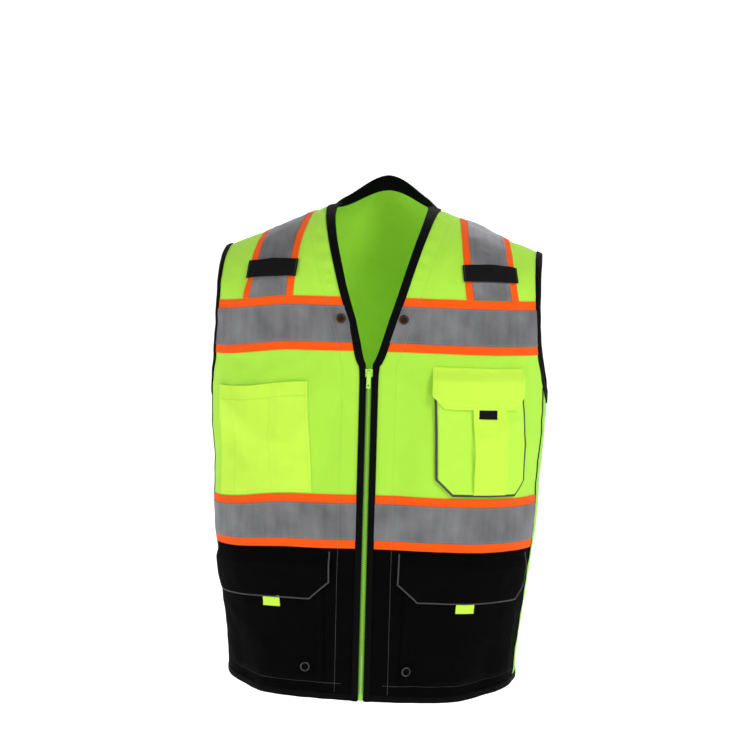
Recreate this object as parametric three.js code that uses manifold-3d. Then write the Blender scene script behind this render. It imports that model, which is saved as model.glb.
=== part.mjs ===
// A surveyor's high visibility vest, zipped up and hanging in the shape it has when it is worn.
// Millimetres, +Z up. The wearer faces -Y and +X is the wearer's left. The origin lies midway between
// the two points where the shoulder seams meet the neck, because the vest hangs from its shoulders.
//
// Every cloth piece follows one skin, a squared oval that closes over the shoulders. A place on it is
// an angle in degrees (0 centre front, 90 the wearer's left side, 180 centre back) and a level in mm
// (0 at the shoulder seam, -BODY_LENGTH at the hem). Cloth is layered outwards from the skin.
import * as THREE from "three";
import { mergeVertices } from "three/addons/utils/BufferGeometryUtils.js";
import Module from "manifold-3d";

const wasm = await Module();
wasm.setup();

// Overall shape
const BODY_LENGTH = 686; // neck point to hem
const SHOULDER_HALF_WIDTH = 246; // half width of the skin from the shoulders to the chest band
const CHEST_HALF_WIDTH = 241; // under the arms
const WAIST_HALF_WIDTH = 234;
const HEM_HALF_WIDTH = 209;
const FRONT_DEPTH = 146; // centre front to the shoulder seam
const BACK_DEPTH = 122;
const SQUARENESS = 2.4; // exponent of the squared oval
const YOKE_DROP = 120; // above this level the cloth turns back over the shoulder
const SHOULDER_SLOPE = 56; // how far the shoulder falls from the neck to the armhole
const SHOULDER_RUN = 140; // sideways distance over which it falls
const HEM_LIFT = 14; // how much higher the hem hangs at the sides
const NAPE_RISE = 48; // the cloth climbs this much behind the neck
const NAPE_HALF_WIDTH = 94;

// Openings
const NECK_HALF_WIDTH = 71;
const NECK_DEPTH_BACK = 60;
const VEE_DEPTH = 220;
const VEE_BEND = 0.82; // below 1 the front neckline bows outwards
const ARMHOLE_DEPTH = 270;
const ARMHOLE_DEG = 63; // where the armhole crosses the shoulder seam
const ARMHOLE_BEND = 5;
const ARMHOLE_SPLIT = 0.0015; // the binding's ends meet this share of the depth below the seam
const COLLAR_HEIGHT = 20;
const COLLAR_THICKNESS = 2.4;

// Cloth
const CLOTH = 1.0;
const GAP = 0.4; // clearance between neighbouring pieces
const FACET_GAP = 0.8; // clearance between pieces whose facets don't share their edges
const TRIM_WIDTH = 75; // contrast strip under the reflective tape
const TAPE_WIDTH = 51;
const TRIM_THICKNESS = 0.6;
const TAPE_THICKNESS = 0.5;
const BINDING_WIDTH = 9.5;
const BINDING_THICKNESS = 4;
const BINDING_STEP = 1; // over this height the binding thickens above the zip tape
const HEM_BINDING_WIDTH = 10;
const SEAM_PIPING_WIDTH = 3;
const SEAM_PIPING_DROP = 24; // its upper end, below where the armhole meets the side seam
const CHEST_BAND_DROP = 126; // neck point to the top of the chest band
const WAIST_BAND_RISE = 285; // hem to the top of the waist band
const SIDE_SEAM_FRONT = 78; // degrees
const SIDE_SEAM_BACK = 102;
const SIDE_TOP_CLEARANCE = 2;

// Shoulder bands and microphone tabs
const SHOULDER_TRIM_SAVING = 5; // the shoulder strips are narrower than the chest strips by this much
const SHOULDER_BAND_TOP_X = 131;
const SHOULDER_BAND_CHEST_X = 160;
const MIC_TAB_LOW = -99;
const MIC_TAB_HIGH = -76;
const MIC_TAB_OVERHANG = 1.5;
const MIC_TAB_THICKNESS = 1.2;

// Zip
const ZIP_OPENING = 5.2; // half the gap between the front bindings
const TOOTH_PITCH = 8;
const TOOTH_HEIGHT = 5;
const TOOTH_THICKNESS = 2.2;
const TOOTH_SLIT = 0.85; // half the slit that the slider's web runs in
const TOOTH_CORE_INNER = 1.9;
const TOOTH_CORE_OUTER = 3.2;
const ZIP_TAPE_THICKNESS = 0.9;
const ZIP_BOX_HEIGHT = 11;
const SLIDER_LENGTH = 11;
const SLIDER_PLATE = 1.5;
const SLIDER_WEB = 0.9;
const SLIDER_WEB_LENGTH = 4;
const FLANGE_WIDTH = 1;
const PULL_LENGTH = 20;
const PULL_WIDTH = 5.6;
const PULL_THICKNESS = 1.2;
const PULL_PIN_RADIUS = 0.6;
const PULL_EYE_RADIUS = 1.6;

// Chest pockets, one open and one with a flap
const POCKET_WALL = 1.0;
const POCKET_ROOM = 8.5; // space between the panel and the pocket's outer cloth
const POCKET_BAND_CLEARANCE = 1.5;
const OPEN_POCKET_FROM = 15;
const OPEN_POCKET_TO = 63.5;
const OPEN_POCKET_DROP = 43; // chest band to the pocket's mouth
const FLAP_POCKET_FROM = 18.8;
const FLAP_POCKET_TO = 58;
const FLAP_POCKET_DROP = 18; // chest band to the flap's seam
const FLAP_POCKET_CORNER = 24;
const FLAP_HEIGHT = 57;
const FLAP_CORNER = 17;
const FLAP_MOUTH_DROP = 26; // flap seam to the pocket's mouth
const FLAP_LEAN = 14; // the flap leaves the panel over this height
const PLEAT_WIDTH = 34;
const TAB_WIDTH = 25;
const TAB_HEIGHT = 13;
const PIPING_WIDTH = 2.4;

// Lower pockets
const LOWER_POCKET_FROM = 11;
const LOWER_POCKET_TO = 70;
const LOWER_POCKET_RISE = 24; // hem to the pocket's bottom
const LOWER_FLAP_FROM = 9;
const LOWER_FLAP_TO = 70.5;
const LOWER_FLAP_DROP = 4; // waist band to the flap's seam
const LOWER_FLAP_HEIGHT = 67;
const LOWER_FLAP_CORNER = 26;
const LOWER_TAB_DEG = 32.8;
const LOWER_MOUTH_DROP = 43;

// Eyelets
const EYELET_BORE = 3.4;
const EYELET_BARREL = 4;
const EYELET_FLANGE = 6.8;
const EYELET_FLANGE_THICKNESS = 1;
const EYELET_BEVEL = 0.6;
const EYELET_DRILL = 40; // length of the cutter that pierces the cloth
const EYELET_GAP = 0.8; // the flanges are flat and the cloth is curved
const CHEST_EYELET_X = 48.5;
const CHEST_EYELET_DROP = 30; // top of the chest band to the eyelet
const HEM_EYELET_X = 70;
const HEM_EYELET_RISE = 46;

// Mesh fineness
const COLUMN_DEG = 8;
const ROW_STEP_LOW = 42;
const ROW_STEP_CHEST = 22;
const ROW_STEP_YOKE = 15;
const ROW_CLEAR = 2.5;
const SIDES = 16;

// Levels worked out from the sizes above
const HEM = -BODY_LENGTH;
const YOKE = -YOKE_DROP;
const VEE = -VEE_DEPTH;
const ARMPIT = -ARMHOLE_DEPTH;
const CHEST_TOP = -CHEST_BAND_DROP;
const CHEST_BOTTOM = CHEST_TOP - TRIM_WIDTH;
const WAIST_TOP = HEM + WAIST_BAND_RISE;
const WAIST_BOTTOM = WAIST_TOP - TRIM_WIDTH;
const TAPE_INSET = (TRIM_WIDTH - TAPE_WIDTH) / 2;
const CLOTH_SEAM = WAIST_BOTTOM + TAPE_INSET; // where the black cloth meets the lime cloth
const HEM_EDGE = HEM + HEM_BINDING_WIDTH + GAP;
const SEAM_LEVEL = -GAP; // a panel stops this far short of the shoulder seam

// Layers, as [low, high] distances from the skin
const above = (layer, thickness) => [layer[1] + GAP, layer[1] + GAP + thickness];
const PANEL = [0, CLOTH];
const TRIM = above(PANEL, TRIM_THICKNESS);
const TAPE = above(TRIM, TAPE_THICKNESS);
const TAB = above(TAPE, MIC_TAB_THICKNESS);
const BINDING = [-(BINDING_THICKNESS - TAPE[1] - GAP), TAPE[1] + GAP];
const POCKET = [PANEL[1] + FACET_GAP, PANEL[1] + POCKET_ROOM + POCKET_WALL];
const PLEAT = above(POCKET, CLOTH);
const FLAP = [PLEAT[1] + FACET_GAP, PLEAT[1] + FACET_GAP + CLOTH];
const LOWER_FLAP = [POCKET[1] + FACET_GAP, POCKET[1] + FACET_GAP + CLOTH];

const radians = THREE.MathUtils.degToRad;
const clamp = THREE.MathUtils.clamp;
const lerp = THREE.MathUtils.lerp;

// Half width of the skin at a level, through its four named widths.
function halfWidth(level) {
  const stops = [
    [HEM, HEM_HALF_WIDTH],
    [WAIST_TOP, WAIST_HALF_WIDTH],
    [ARMPIT, CHEST_HALF_WIDTH],
    [CHEST_TOP, SHOULDER_HALF_WIDTH],
    [0, SHOULDER_HALF_WIDTH],
  ];
  const above = stops.findIndex(([z]) => z >= level);
  if (above <= 0) return stops[Math.max(above, 0)][1];
  const [z0, w0] = stops[above - 1];
  const [z1, w1] = stops[above];
  return lerp(w0, w1, THREE.MathUtils.smoothstep(level, z0, z1));
}

// Height of the shoulder seam above a sideways distance.
function shoulderLine(x) {
  const out = (Math.abs(x) - NECK_HALF_WIDTH) / SHOULDER_RUN;
  return out < 0 ? -8 * out : -SHOULDER_SLOPE * out ** 1.15;
}

// Height of the cloth over the shoulder: turn runs from 0 at the yoke to a right angle at the seam.
function yokeHeight(x, turn, behind) {
  const nape = Math.max(1 - (x / NAPE_HALF_WIDTH) ** 2, 0) ** 2;
  const rise = behind ? NAPE_RISE * nape * Math.sin(2 * turn) : 0;
  return YOKE + (shoulderLine(x) - YOKE) * Math.sin(turn) + rise;
}

// The point of the skin at an angle and a level.
function skin(deg, level) {
  const side = Math.sin(radians(deg));
  const face = Math.cos(radians(deg));
  const bend = 2 / SQUARENESS;
  const x = halfWidth(level) * Math.sign(side) * Math.abs(side) ** bend;
  const y = (face > 0 ? -FRONT_DEPTH : BACK_DEPTH) * Math.abs(face) ** bend;
  if (level <= YOKE) {
    const low = clamp((WAIST_BOTTOM - level) / (WAIST_BOTTOM - HEM), 0, 1);
    return new THREE.Vector3(x, y, level + HEM_LIFT * low ** 2 * side ** 4);
  }
  const turn = (Math.PI / 2) * (1 - level / YOKE);
  return new THREE.Vector3(x, y * Math.cos(turn), yokeHeight(x, turn, face < 0));
}

// The skin's outward normal, from two short chords.
function normalAt(deg, level) {
  const across = skin(deg + 1.5, level).sub(skin(deg - 1.5, level));
  const up = skin(deg, Math.min(level + 2, 0)).sub(skin(deg, level - 2));
  return across.cross(up).normalize();
}

const lifted = (deg, level, height) => skin(deg, level).addScaledVector(normalAt(deg, level), height);

// The angle at which the front of the skin has a sideways distance.
function degAt(x, level) {
  return THREE.MathUtils.radToDeg(Math.asin(clamp(x / halfWidth(level), 0, 1) ** (SQUARENESS / 2)));
}

// Degrees that span a distance along the skin near an angle and a level.
const degSpan = (width, deg, level) => width / skin(deg + 0.5, level).distanceTo(skin(deg - 0.5, level));

// A closed solid between two grids of points, with its edges walled. Collapsed triangles are dropped.
function slab(inner, outer) {
  const spots = [];
  const rows = inner.length;
  const columns = inner[0].length;
  const key = (p) => `${p.x.toFixed(3)},${p.y.toFixed(3)},${p.z.toFixed(3)}`;
  const triangle = (a, b, c) => {
    const keys = new Set([key(a), key(b), key(c)]);
    if (keys.size === 3) for (const p of [a, b, c]) spots.push(p.x, p.y, p.z);
  };
  const quad = (a, b, c, d) => {
    triangle(a, b, c);
    triangle(a, c, d);
  };
  for (let j = 0; j + 1 < rows; j++) {
    for (let i = 0; i + 1 < columns; i++) {
      quad(outer[j][i], outer[j][i + 1], outer[j + 1][i + 1], outer[j + 1][i]);
      quad(inner[j][i], inner[j + 1][i], inner[j + 1][i + 1], inner[j][i + 1]);
    }
    const last = columns - 1;
    quad(inner[j][0], outer[j][0], outer[j + 1][0], inner[j + 1][0]);
    quad(outer[j][last], inner[j][last], inner[j + 1][last], outer[j + 1][last]);
  }
  for (let i = 0; i + 1 < columns; i++) {
    const last = rows - 1;
    quad(inner[0][i], inner[0][i + 1], outer[0][i + 1], outer[0][i]);
    quad(outer[last][i], outer[last][i + 1], inner[last][i + 1], inner[last][i]);
  }
  return new THREE.BufferGeometry().setAttribute("position", new THREE.Float32BufferAttribute(spots, 3));
}

const asFunction = (value) => (typeof value === "function" ? value : () => value);

// A layer of cloth over rows of [angle, level] places.
function cloth(rows, layer) {
  const [low, high] = layer.map(asFunction);
  const grid = (height) => rows.map((row) => row.map(([deg, level]) => lifted(deg, level, height(level))));
  return slab(grid(low), grid(high));
}

// Rows shared by every layer, so that the facets of neighbouring layers stay parallel.
const ROWS = [[HEM, ARMPIT, ROW_STEP_LOW], [ARMPIT, YOKE, ROW_STEP_CHEST], [YOKE, 0, ROW_STEP_YOKE]].flatMap(
  ([from, to, step]) => {
    const count = Math.ceil((to - from) / step);
    return Array.from({ length: count }, (_, k) => lerp(from, to, k / count));
  },
);

// Levels from low to high: both ends, any extra levels, and the shared rows that lie clear of them.
function levels(low, high, extra = []) {
  const kept = [low, high, ...extra].filter((z) => z >= low && z <= high);
  const between = ROWS.filter((z) => z > low && z < high && kept.every((k) => Math.abs(k - z) > ROW_CLEAR));
  return [...kept, ...between].sort((a, b) => a - b);
}

// A layer of cloth between two side edges, each an angle or a function of the level.
function panel(rowLevels, from, to, layer) {
  const [start, end] = [from, to].map(asFunction);
  const lowest = Math.min(...rowLevels.map(start));
  const highest = Math.max(...rowLevels.map(end));
  const columns = [lowest];
  for (let deg = Math.ceil(lowest / COLUMN_DEG + 0.1) * COLUMN_DEG; deg < highest - 1; deg += COLUMN_DEG)
    columns.push(deg);
  columns.push(highest);
  const rows = rowLevels.map((level) => {
    const row = columns.map((deg) => [clamp(deg, start(level), end(level)), level]);
    row[0][0] = start(level);
    row.at(-1)[0] = end(level);
    return row;
  });
  return cloth(rows, layer);
}

// A narrow strip along a path of [angle, level] places, from near to far beside the path.
// Positive distances lie on the right hand when looking along the path from outside.
function strip(path, near, far, layer) {
  const spots = path.map(([deg, level]) => skin(deg, level));
  const [low, high] = layer.map(asFunction);
  const at = (k, beside, height) => {
    const [deg, level] = path[k];
    const along = spots[Math.min(k + 1, path.length - 1)].clone().sub(spots[Math.max(k - 1, 0)]).normalize();
    const out = normalAt(deg, level);
    const right = along.cross(out).normalize();
    return spots[k].clone().addScaledVector(right, beside).addScaledVector(out, height(level));
  };
  const grid = (height) => path.map((_, k) => [at(k, far, height), at(k, near, height)].reverse());
  return slab(grid(low), grid(high));
}

// A path on the wearer's left, or its mirror image run the other way so that right stays right.
const onSide = (path, sign) => (sign > 0 ? path : path.map(([deg, level]) => [-deg, level]).reverse());

// The same for rows of places.
const sided = (rows, sign) => (sign > 0 ? rows : rows.map((row) => row.map(([deg, z]) => [-deg, z]).reverse()));

// Booleans: a geometry becomes a solid, and a solid a geometry.
function solid(geometry) {
  const bare = geometry.index ? geometry.toNonIndexed() : geometry.clone();
  for (const name of Object.keys(bare.attributes)) if (name !== "position") bare.deleteAttribute(name);
  const merged = mergeVertices(bare, 1e-3);
  return new wasm.Manifold(
    new wasm.Mesh({
      numProp: 3,
      vertProperties: merged.attributes.position.array,
      triVerts: new Uint32Array(merged.index.array),
    }),
  );
}

function shape(made) {
  const mesh = made.getMesh();
  return new THREE.BufferGeometry()
    .setAttribute("position", new THREE.BufferAttribute(mesh.vertProperties, 3))
    .setIndex(new THREE.BufferAttribute(mesh.triVerts, 1));
}

const cut = (geometry, ...cutters) =>
  shape(cutters.reduce((made, cutter) => made.subtract(solid(cutter)), solid(geometry)));
const joined = (first, ...others) =>
  shape(others.reduce((made, other) => made.add(solid(other)), solid(first)));

// A box from its lowest to its highest corner.
function block([x0, y0, z0], [x1, y1, z1]) {
  return new THREE.BoxGeometry(x1 - x0, y1 - y0, z1 - z0).translate((x0 + x1) / 2, (y0 + y1) / 2, (z0 + z1) / 2);
}

// A solid of revolution about +Z stood on the skin, its axis along the normal.
function standing(geometry, deg, level) {
  const turn = new THREE.Quaternion().setFromUnitVectors(new THREE.Vector3(0, 0, 1), normalAt(deg, level));
  const at = skin(deg, level);
  return geometry.applyQuaternion(turn).translate(at.x, at.y, at.z);
}

// Finishes, with colours as red, green and blue
const finish = (hex, roughness, metalness = 0) => new THREE.MeshStandardMaterial({ color: hex, roughness, metalness });
const LIME = finish(0xb4f23c, 0.85);
const LIME_MESH = finish(0xa8e83a, 0.9);
const YELLOW = finish(0xc8fb48, 0.85);
const BLACK = finish(0x111113, 0.9);
const BLACK_WEBBING = finish(0x17171a, 0.8);
const ORANGE = finish(0xff6418, 0.8);
const SILVER = finish(0x8a8c8f, 0.45, 0.2);
const GREY_PIPING = finish(0x55585a, 0.55);
const BRONZE = finish(0x6b4a32, 0.4, 0.8);
const GUNMETAL = finish(0x2b2b2d, 0.4, 0.7);
const LIME_PLASTIC = finish(0xa6ea4a, 0.45);

const vest = new THREE.Group();

function add(name, geometry, material) {
  const mesh = new THREE.Mesh(geometry, material);
  mesh.name = name;
  vest.add(mesh);
}

// Each side has a name and the sign of its X. mirrored() turns a left-hand span into that side's span.
const SIDES_OF_BODY = [
  { side: "right", sign: -1 },
  { side: "left", sign: 1 },
];
const mirrored = (sign, from, to) => {
  const [a, b] = [from, to].map(asFunction);
  return sign > 0 ? [a, b] : [(level) => -b(level), (level) => -a(level)];
};

// Edges
// True height of a level above the neck, near the neck.
const heightNearNeck = (level) => (level <= YOKE ? level : YOKE - YOKE * Math.sin((Math.PI / 2) * (1 - level / YOKE)));
function veeX(level) {
  const up = clamp((heightNearNeck(level) - VEE) / -VEE, 0, 1);
  return ZIP_OPENING + (NECK_HALF_WIDTH - ZIP_OPENING) * up ** VEE_BEND;
}
const bindingX = (level) => veeX(level) + BINDING_WIDTH;
const frontEdge = (level) => degAt(bindingX(level) + GAP, level);
// The armhole narrows from the shoulder to the side seam; reach moves the edge into the cloth.
function armhole(level, reach = 0) {
  const low = clamp(level / (ARMPIT - reach), 0, 1);
  const top = ARMHOLE_DEG - degSpan(reach, 180 - ARMHOLE_DEG, level);
  return top + (90 - top) * low ** ARMHOLE_BEND;
}
const CLOTH_REACH = BINDING_WIDTH / 2 + GAP * 2;
const sideEdge = (level) => Math.min(armhole(level, CLOTH_REACH), SIDE_SEAM_FRONT);
const backEdge = (level) => 180 - Math.min(armhole(level, CLOTH_REACH), 180 - SIDE_SEAM_BACK);
const seamGap = (deg, level) => degSpan(SEAM_PIPING_WIDTH / 2 + GAP, deg, level);
const frontSideEdge = (level) => sideEdge(level) - (sideEdge(level) === SIDE_SEAM_FRONT ? seamGap(SIDE_SEAM_FRONT, level) : 0);
// The level where the armhole's edge reaches the side seam.
const meetLevel = (ARMPIT - CLOTH_REACH) * ((SIDE_SEAM_FRONT - ARMHOLE_DEG) / (90 - ARMHOLE_DEG)) ** (1 / ARMHOLE_BEND);
const ARMHOLE_LEVELS = [ARMPIT * 0.6, ARMPIT * 0.75, ARMPIT * 0.85, meetLevel + 3, meetLevel - 3];

// Places of the eyelets, as [angle, level]
const chestEyelet = [degAt(CHEST_EYELET_X, CHEST_TOP), CHEST_TOP - CHEST_EYELET_DROP];
const hemEyelet = [degAt(HEM_EYELET_X, HEM), HEM + HEM_EYELET_RISE];
const hole = (sign, [deg, level]) =>
  standing(
    new THREE.CylinderGeometry(EYELET_BARREL + GAP, EYELET_BARREL + GAP, EYELET_DRILL, SIDES).rotateX(Math.PI / 2),
    sign * deg,
    level,
  );

// An eyelet's two flanges clamp the cloth that lies between two distances from the skin.
function eyelet(sign, [deg, level], inside, outside) {
  const [back, face] = [inside - EYELET_GAP, outside + GAP];
  const ring = [
    [EYELET_BORE, back - EYELET_FLANGE_THICKNESS],
    [EYELET_FLANGE, back - EYELET_FLANGE_THICKNESS],
    [EYELET_FLANGE, back],
    [EYELET_BARREL, back],
    [EYELET_BARREL, face],
    [EYELET_FLANGE, face],
    [EYELET_FLANGE - EYELET_BEVEL, face + EYELET_FLANGE_THICKNESS],
    [EYELET_BORE, face + EYELET_FLANGE_THICKNESS],
    [EYELET_BORE, back - EYELET_FLANGE_THICKNESS],
  ].map(([r, h]) => new THREE.Vector2(r, h));
  const lathe = new THREE.LatheGeometry(ring, SIDES).rotateX(Math.PI / 2);
  return standing(lathe, sign * deg, level);
}

// Rows of a side panel, whose upper edge follows the armhole.
function sideMeshRows() {
  const from = SIDE_SEAM_FRONT + seamGap(SIDE_SEAM_FRONT, WAIST_TOP);
  const to = SIDE_SEAM_BACK - seamGap(SIDE_SEAM_BACK, WAIST_TOP) / 2;
  const columns = Array.from({ length: 9 }, (_, k) => lerp(from, to, k / 8));
  const top = (deg) => {
    const share = (90 - Math.abs(90 - deg) - ARMHOLE_DEG) / (90 - ARMHOLE_DEG);
    return ARMPIT * share ** (1 / ARMHOLE_BEND) - CLOTH_REACH - SIDE_TOP_CLEARANCE;
  };
  return Array.from({ length: 13 }, (_, j) => columns.map((deg) => [deg, lerp(HEM_EDGE, top(deg), j / 12)]));
}

// Front, back and side panels, sewn to each other at the shoulder and side seams
for (const { side, sign } of SIDES_OF_BODY) {
  const upper = levels(CLOTH_SEAM + GAP / 2, SEAM_LEVEL, ARMHOLE_LEVELS.concat(VEE));
  add(
    `front_${side}_panel`,
    cut(panel(upper, ...mirrored(sign, frontEdge, frontSideEdge), PANEL), hole(sign, chestEyelet)),
    LIME,
  );
  const lower = levels(HEM_EDGE, CLOTH_SEAM - GAP / 2);
  add(`lower_front_${side}_panel`, panel(lower, ...mirrored(sign, frontEdge, frontSideEdge), PANEL), BLACK);
  add(`${side}_side_mesh`, cloth(sided(sideMeshRows(), sign), PANEL), LIME_MESH);
}

const backFrom = (level) => backEdge(level);
const backTo = (level) => 360 - backEdge(level);
// The neck hole, an upright oval through the back panel.
const oval = (rx, ry, low, high) =>
  new THREE.CylinderGeometry(1, 1, high - low, 4 * SIDES)
    .rotateX(Math.PI / 2)
    .scale(rx, ry, 1)
    .translate(0, 0, (low + high) / 2);
const neckHole = oval(NECK_HALF_WIDTH + BINDING_WIDTH + GAP, NECK_DEPTH_BACK + BINDING_WIDTH + GAP, YOKE / 2, -YOKE);
add(
  "back_panel",
  cut(panel(levels(CLOTH_SEAM + GAP / 2, SEAM_LEVEL, ARMHOLE_LEVELS), backFrom, backTo, PANEL), neckHole),
  LIME,
);
add("lower_back_panel", panel(levels(HEM_EDGE, CLOTH_SEAM - GAP / 2), backFrom, backTo, PANEL), BLACK);

// Bindings folded over the raw edges, and piping in the side seams
const bindingLow = (level) => (level < VEE ? PANEL[0] + ZIP_TAPE_THICKNESS : BINDING[0]);
const frontBindingLayer = [bindingLow, BINDING[1]];
for (const { side, sign } of SIDES_OF_BODY) {
  const edge = mirrored(sign, (z) => degAt(veeX(z), z), (z) => degAt(bindingX(z), z));
  add(`${side}_front_binding`, panel(levels(HEM, SEAM_LEVEL, [VEE, VEE - BINDING_STEP]), ...edge, frontBindingLayer), BLACK);

  const steps = [ARMHOLE_SPLIT, 0.07, 0.15, 0.3, 0.444, 0.6, 0.72, 0.82, 0.9, 0.96, 0.99];
  const front = steps.map((t) => [armhole(ARMPIT * t), ARMPIT * t]);
  const path = [...front, [90, ARMPIT], ...front.map(([deg, level]) => [180 - deg, level]).reverse()];
  add(`${side}_armhole_binding`, strip(onSide(path, sign), -BINDING_WIDTH / 2, BINDING_WIDTH / 2, BINDING), BLACK);

  const seam = levels(HEM_EDGE, meetLevel - SEAM_PIPING_DROP).map((level) => [SIDE_SEAM_FRONT, level]);
  add(`${side}_seam_piping`, strip(onSide(seam, sign), -SEAM_PIPING_WIDTH / 2, SEAM_PIPING_WIDTH / 2, [PANEL[0], TRIM[1]]), BLACK);
}
const hemFrom = (level) => degAt(bindingX(level) + GAP, level);
add(
  "hem_binding",
  panel([HEM, HEM + HEM_BINDING_WIDTH], hemFrom, (level) => 360 - hemFrom(level), [BINDING[0], TRIM[1]]),
  BLACK,
);

// Height of the skin's back above a place near the neck.
function backHeight(x, y) {
  const flat = (1 - (Math.abs(x) / SHOULDER_HALF_WIDTH) ** SQUARENESS) ** (1 / SQUARENESS);
  return yokeHeight(x, Math.acos(clamp(y / (BACK_DEPTH * flat), 0, 1)), true);
}

// The back collar, a stiffened strip that stands up from the back neckline and leans in.
function collar() {
  const turns = Array.from({ length: 17 }, (_, k) => lerp(1, 179, k / 16));
  const row = (width, lift) =>
    turns.map((deg) => {
      const [c, s] = [Math.cos(radians(deg)), Math.sin(radians(deg))];
      const low = backHeight((NECK_HALF_WIDTH + BINDING_WIDTH) * c, (NECK_DEPTH_BACK + BINDING_WIDTH) * s);
      const up = lift * (2 + COLLAR_HEIGHT * s ** 0.7);
      return new THREE.Vector3((NECK_HALF_WIDTH + width) * c, (NECK_DEPTH_BACK + width) * s + GAP, low + up);
    });
  const wide = BINDING_WIDTH - GAP;
    return slab([row(wide - COLLAR_THICKNESS, 0), row(-COLLAR_THICKNESS, 1)], [row(wide, 0), row(0, 1)]);
}
add("back_collar", collar(), BLACK);

// Reflective bands: a contrast strip with a narrower silver tape on it
for (const { side, sign } of SIDES_OF_BODY) {
  for (const [name, top] of [["chest", CHEST_TOP], ["waist", WAIST_TOP]]) {
    const edges = mirrored(sign, frontEdge, frontSideEdge);
    const rows = levels(top - TRIM_WIDTH, top, ARMHOLE_LEVELS);
    const tapeRows = levels(top - TRIM_WIDTH + TAPE_INSET, top - TAPE_INSET, ARMHOLE_LEVELS);
    const pierced = (made) => (name === "chest" ? cut(made, hole(sign, chestEyelet)) : made);
    add(`${name}_trim_${side}`, pierced(panel(rows, ...edges, TRIM)), ORANGE);
    add(`${name}_tape_${side}`, pierced(panel(tapeRows, ...edges, TAPE)), SILVER);
  }
}
for (const [name, top] of [["chest", CHEST_TOP], ["waist", WAIST_TOP]]) {
  const rows = levels(top - TRIM_WIDTH, top, ARMHOLE_LEVELS);
  const tapeRows = levels(top - TRIM_WIDTH + TAPE_INSET, top - TAPE_INSET, ARMHOLE_LEVELS);
  add(`back_${name}_trim`, panel(rows, backFrom, backTo, TRIM), ORANGE);
  add(`back_${name}_tape`, panel(tapeRows, backFrom, backTo, TAPE), SILVER);
}

// Rows of the shoulder bands, which lean towards the neck as they climb from the chest band.
const BAND_HALF = (TRIM_WIDTH - SHOULDER_TRIM_SAVING) / 2;
const BAND_OFFSETS = [-BAND_HALF, -TAPE_WIDTH / 2, -TAPE_WIDTH / 4, 0, TAPE_WIDTH / 4, TAPE_WIDTH / 2, BAND_HALF];
const TAPE_OFFSETS = BAND_OFFSETS.slice(1, -1);
const MIC_TAB_OFFSETS = [-BAND_HALF - MIC_TAB_OVERHANG, ...BAND_OFFSETS, BAND_HALF + MIC_TAB_OVERHANG];
function bandRows(offsets, low, high) {
  const centre = (level) => lerp(SHOULDER_BAND_TOP_X, SHOULDER_BAND_CHEST_X, clamp(level / CHEST_TOP, 0, 1));
  return levels(low, high, [MIC_TAB_LOW, MIC_TAB_HIGH]).map((level) =>
    offsets.map((offset) => [degAt(centre(level) + offset, level), level]),
  );
}

// A shoulder band runs from the chest band over the shoulder seam to the back band.
function shoulderBand(sign, offsets, layer) {
  const climb = bandRows(offsets, CHEST_TOP + GAP, 0);
  const descend = climb.slice(0, -1).map((row) => row.map(([deg, level]) => [180 - deg, level]));
  return cloth(sided([...climb, ...descend.reverse()], sign), layer);
}
for (const { side, sign } of SIDES_OF_BODY) {
  add(`shoulder_trim_${side}`, shoulderBand(sign, BAND_OFFSETS, TRIM), ORANGE);
  add(`shoulder_tape_${side}`, shoulderBand(sign, TAPE_OFFSETS, TAPE), SILVER);

  const tabRows = sided(bandRows(MIC_TAB_OFFSETS, MIC_TAB_LOW, MIC_TAB_HIGH), sign);
  add(`mic_tab_${side}`, cloth(tabRows, TAB), BLACK_WEBBING);

  add(`chest_eyelet_${side}`, eyelet(sign, chestEyelet, PANEL[0], TAPE[1]), BRONZE);
}

// Zip: tapes, two rows of teeth with a slit between them, the box at the foot, slider and pull
const ZIP_Y = -FRONT_DEPTH;
const TEETH_TOP = VEE - BINDING_STEP - GAP;
const TEETH_FOOT = HEM + ZIP_BOX_HEIGHT + 2 * GAP;
const TAPE_EDGE = TOOTH_CORE_OUTER + GAP;
for (const { side, sign } of SIDES_OF_BODY) {
  const across = [TAPE_EDGE, bindingX(HEM) - GAP].map((x) => sign * x).sort((a, b) => a - b);
  add(
    `zip_tape_${side}`,
    block([across[0], ZIP_Y - ZIP_TAPE_THICKNESS / 2, HEM + GAP], [across[1], ZIP_Y + ZIP_TAPE_THICKNESS / 2, TEETH_TOP]),
    LIME,
  );
  const comb = new THREE.Shape();
  comb.moveTo(TOOTH_CORE_OUTER, TEETH_FOOT);
  comb.lineTo(TOOTH_CORE_OUTER, TEETH_TOP);
  comb.lineTo(TOOTH_CORE_INNER, TEETH_TOP);
  const start = TEETH_TOP - (sign > 0 ? 1 : 3);
  for (let z = start; z - TOOTH_HEIGHT > TEETH_FOOT + 1; z -= TOOTH_PITCH) {
    comb.lineTo(TOOTH_CORE_INNER, z);
    comb.lineTo(TOOTH_SLIT, z);
    comb.lineTo(TOOTH_SLIT, z - TOOTH_HEIGHT);
    comb.lineTo(TOOTH_CORE_INNER, z - TOOTH_HEIGHT);
  }
  comb.lineTo(TOOTH_CORE_INNER, TEETH_FOOT);
  comb.closePath();
  const teeth = new THREE.ExtrudeGeometry(comb, { depth: TOOTH_THICKNESS, bevelEnabled: false })
    .rotateX(Math.PI / 2)
    .translate(0, ZIP_Y + TOOTH_THICKNESS / 2, 0);
  if (sign < 0) teeth.rotateZ(Math.PI).translate(0, 2 * ZIP_Y, 0);
  add(`zip_teeth_${side}`, teeth, LIME_PLASTIC);
}
const BOX_HALF_WIDTH = TAPE_EDGE - GAP;
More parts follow.
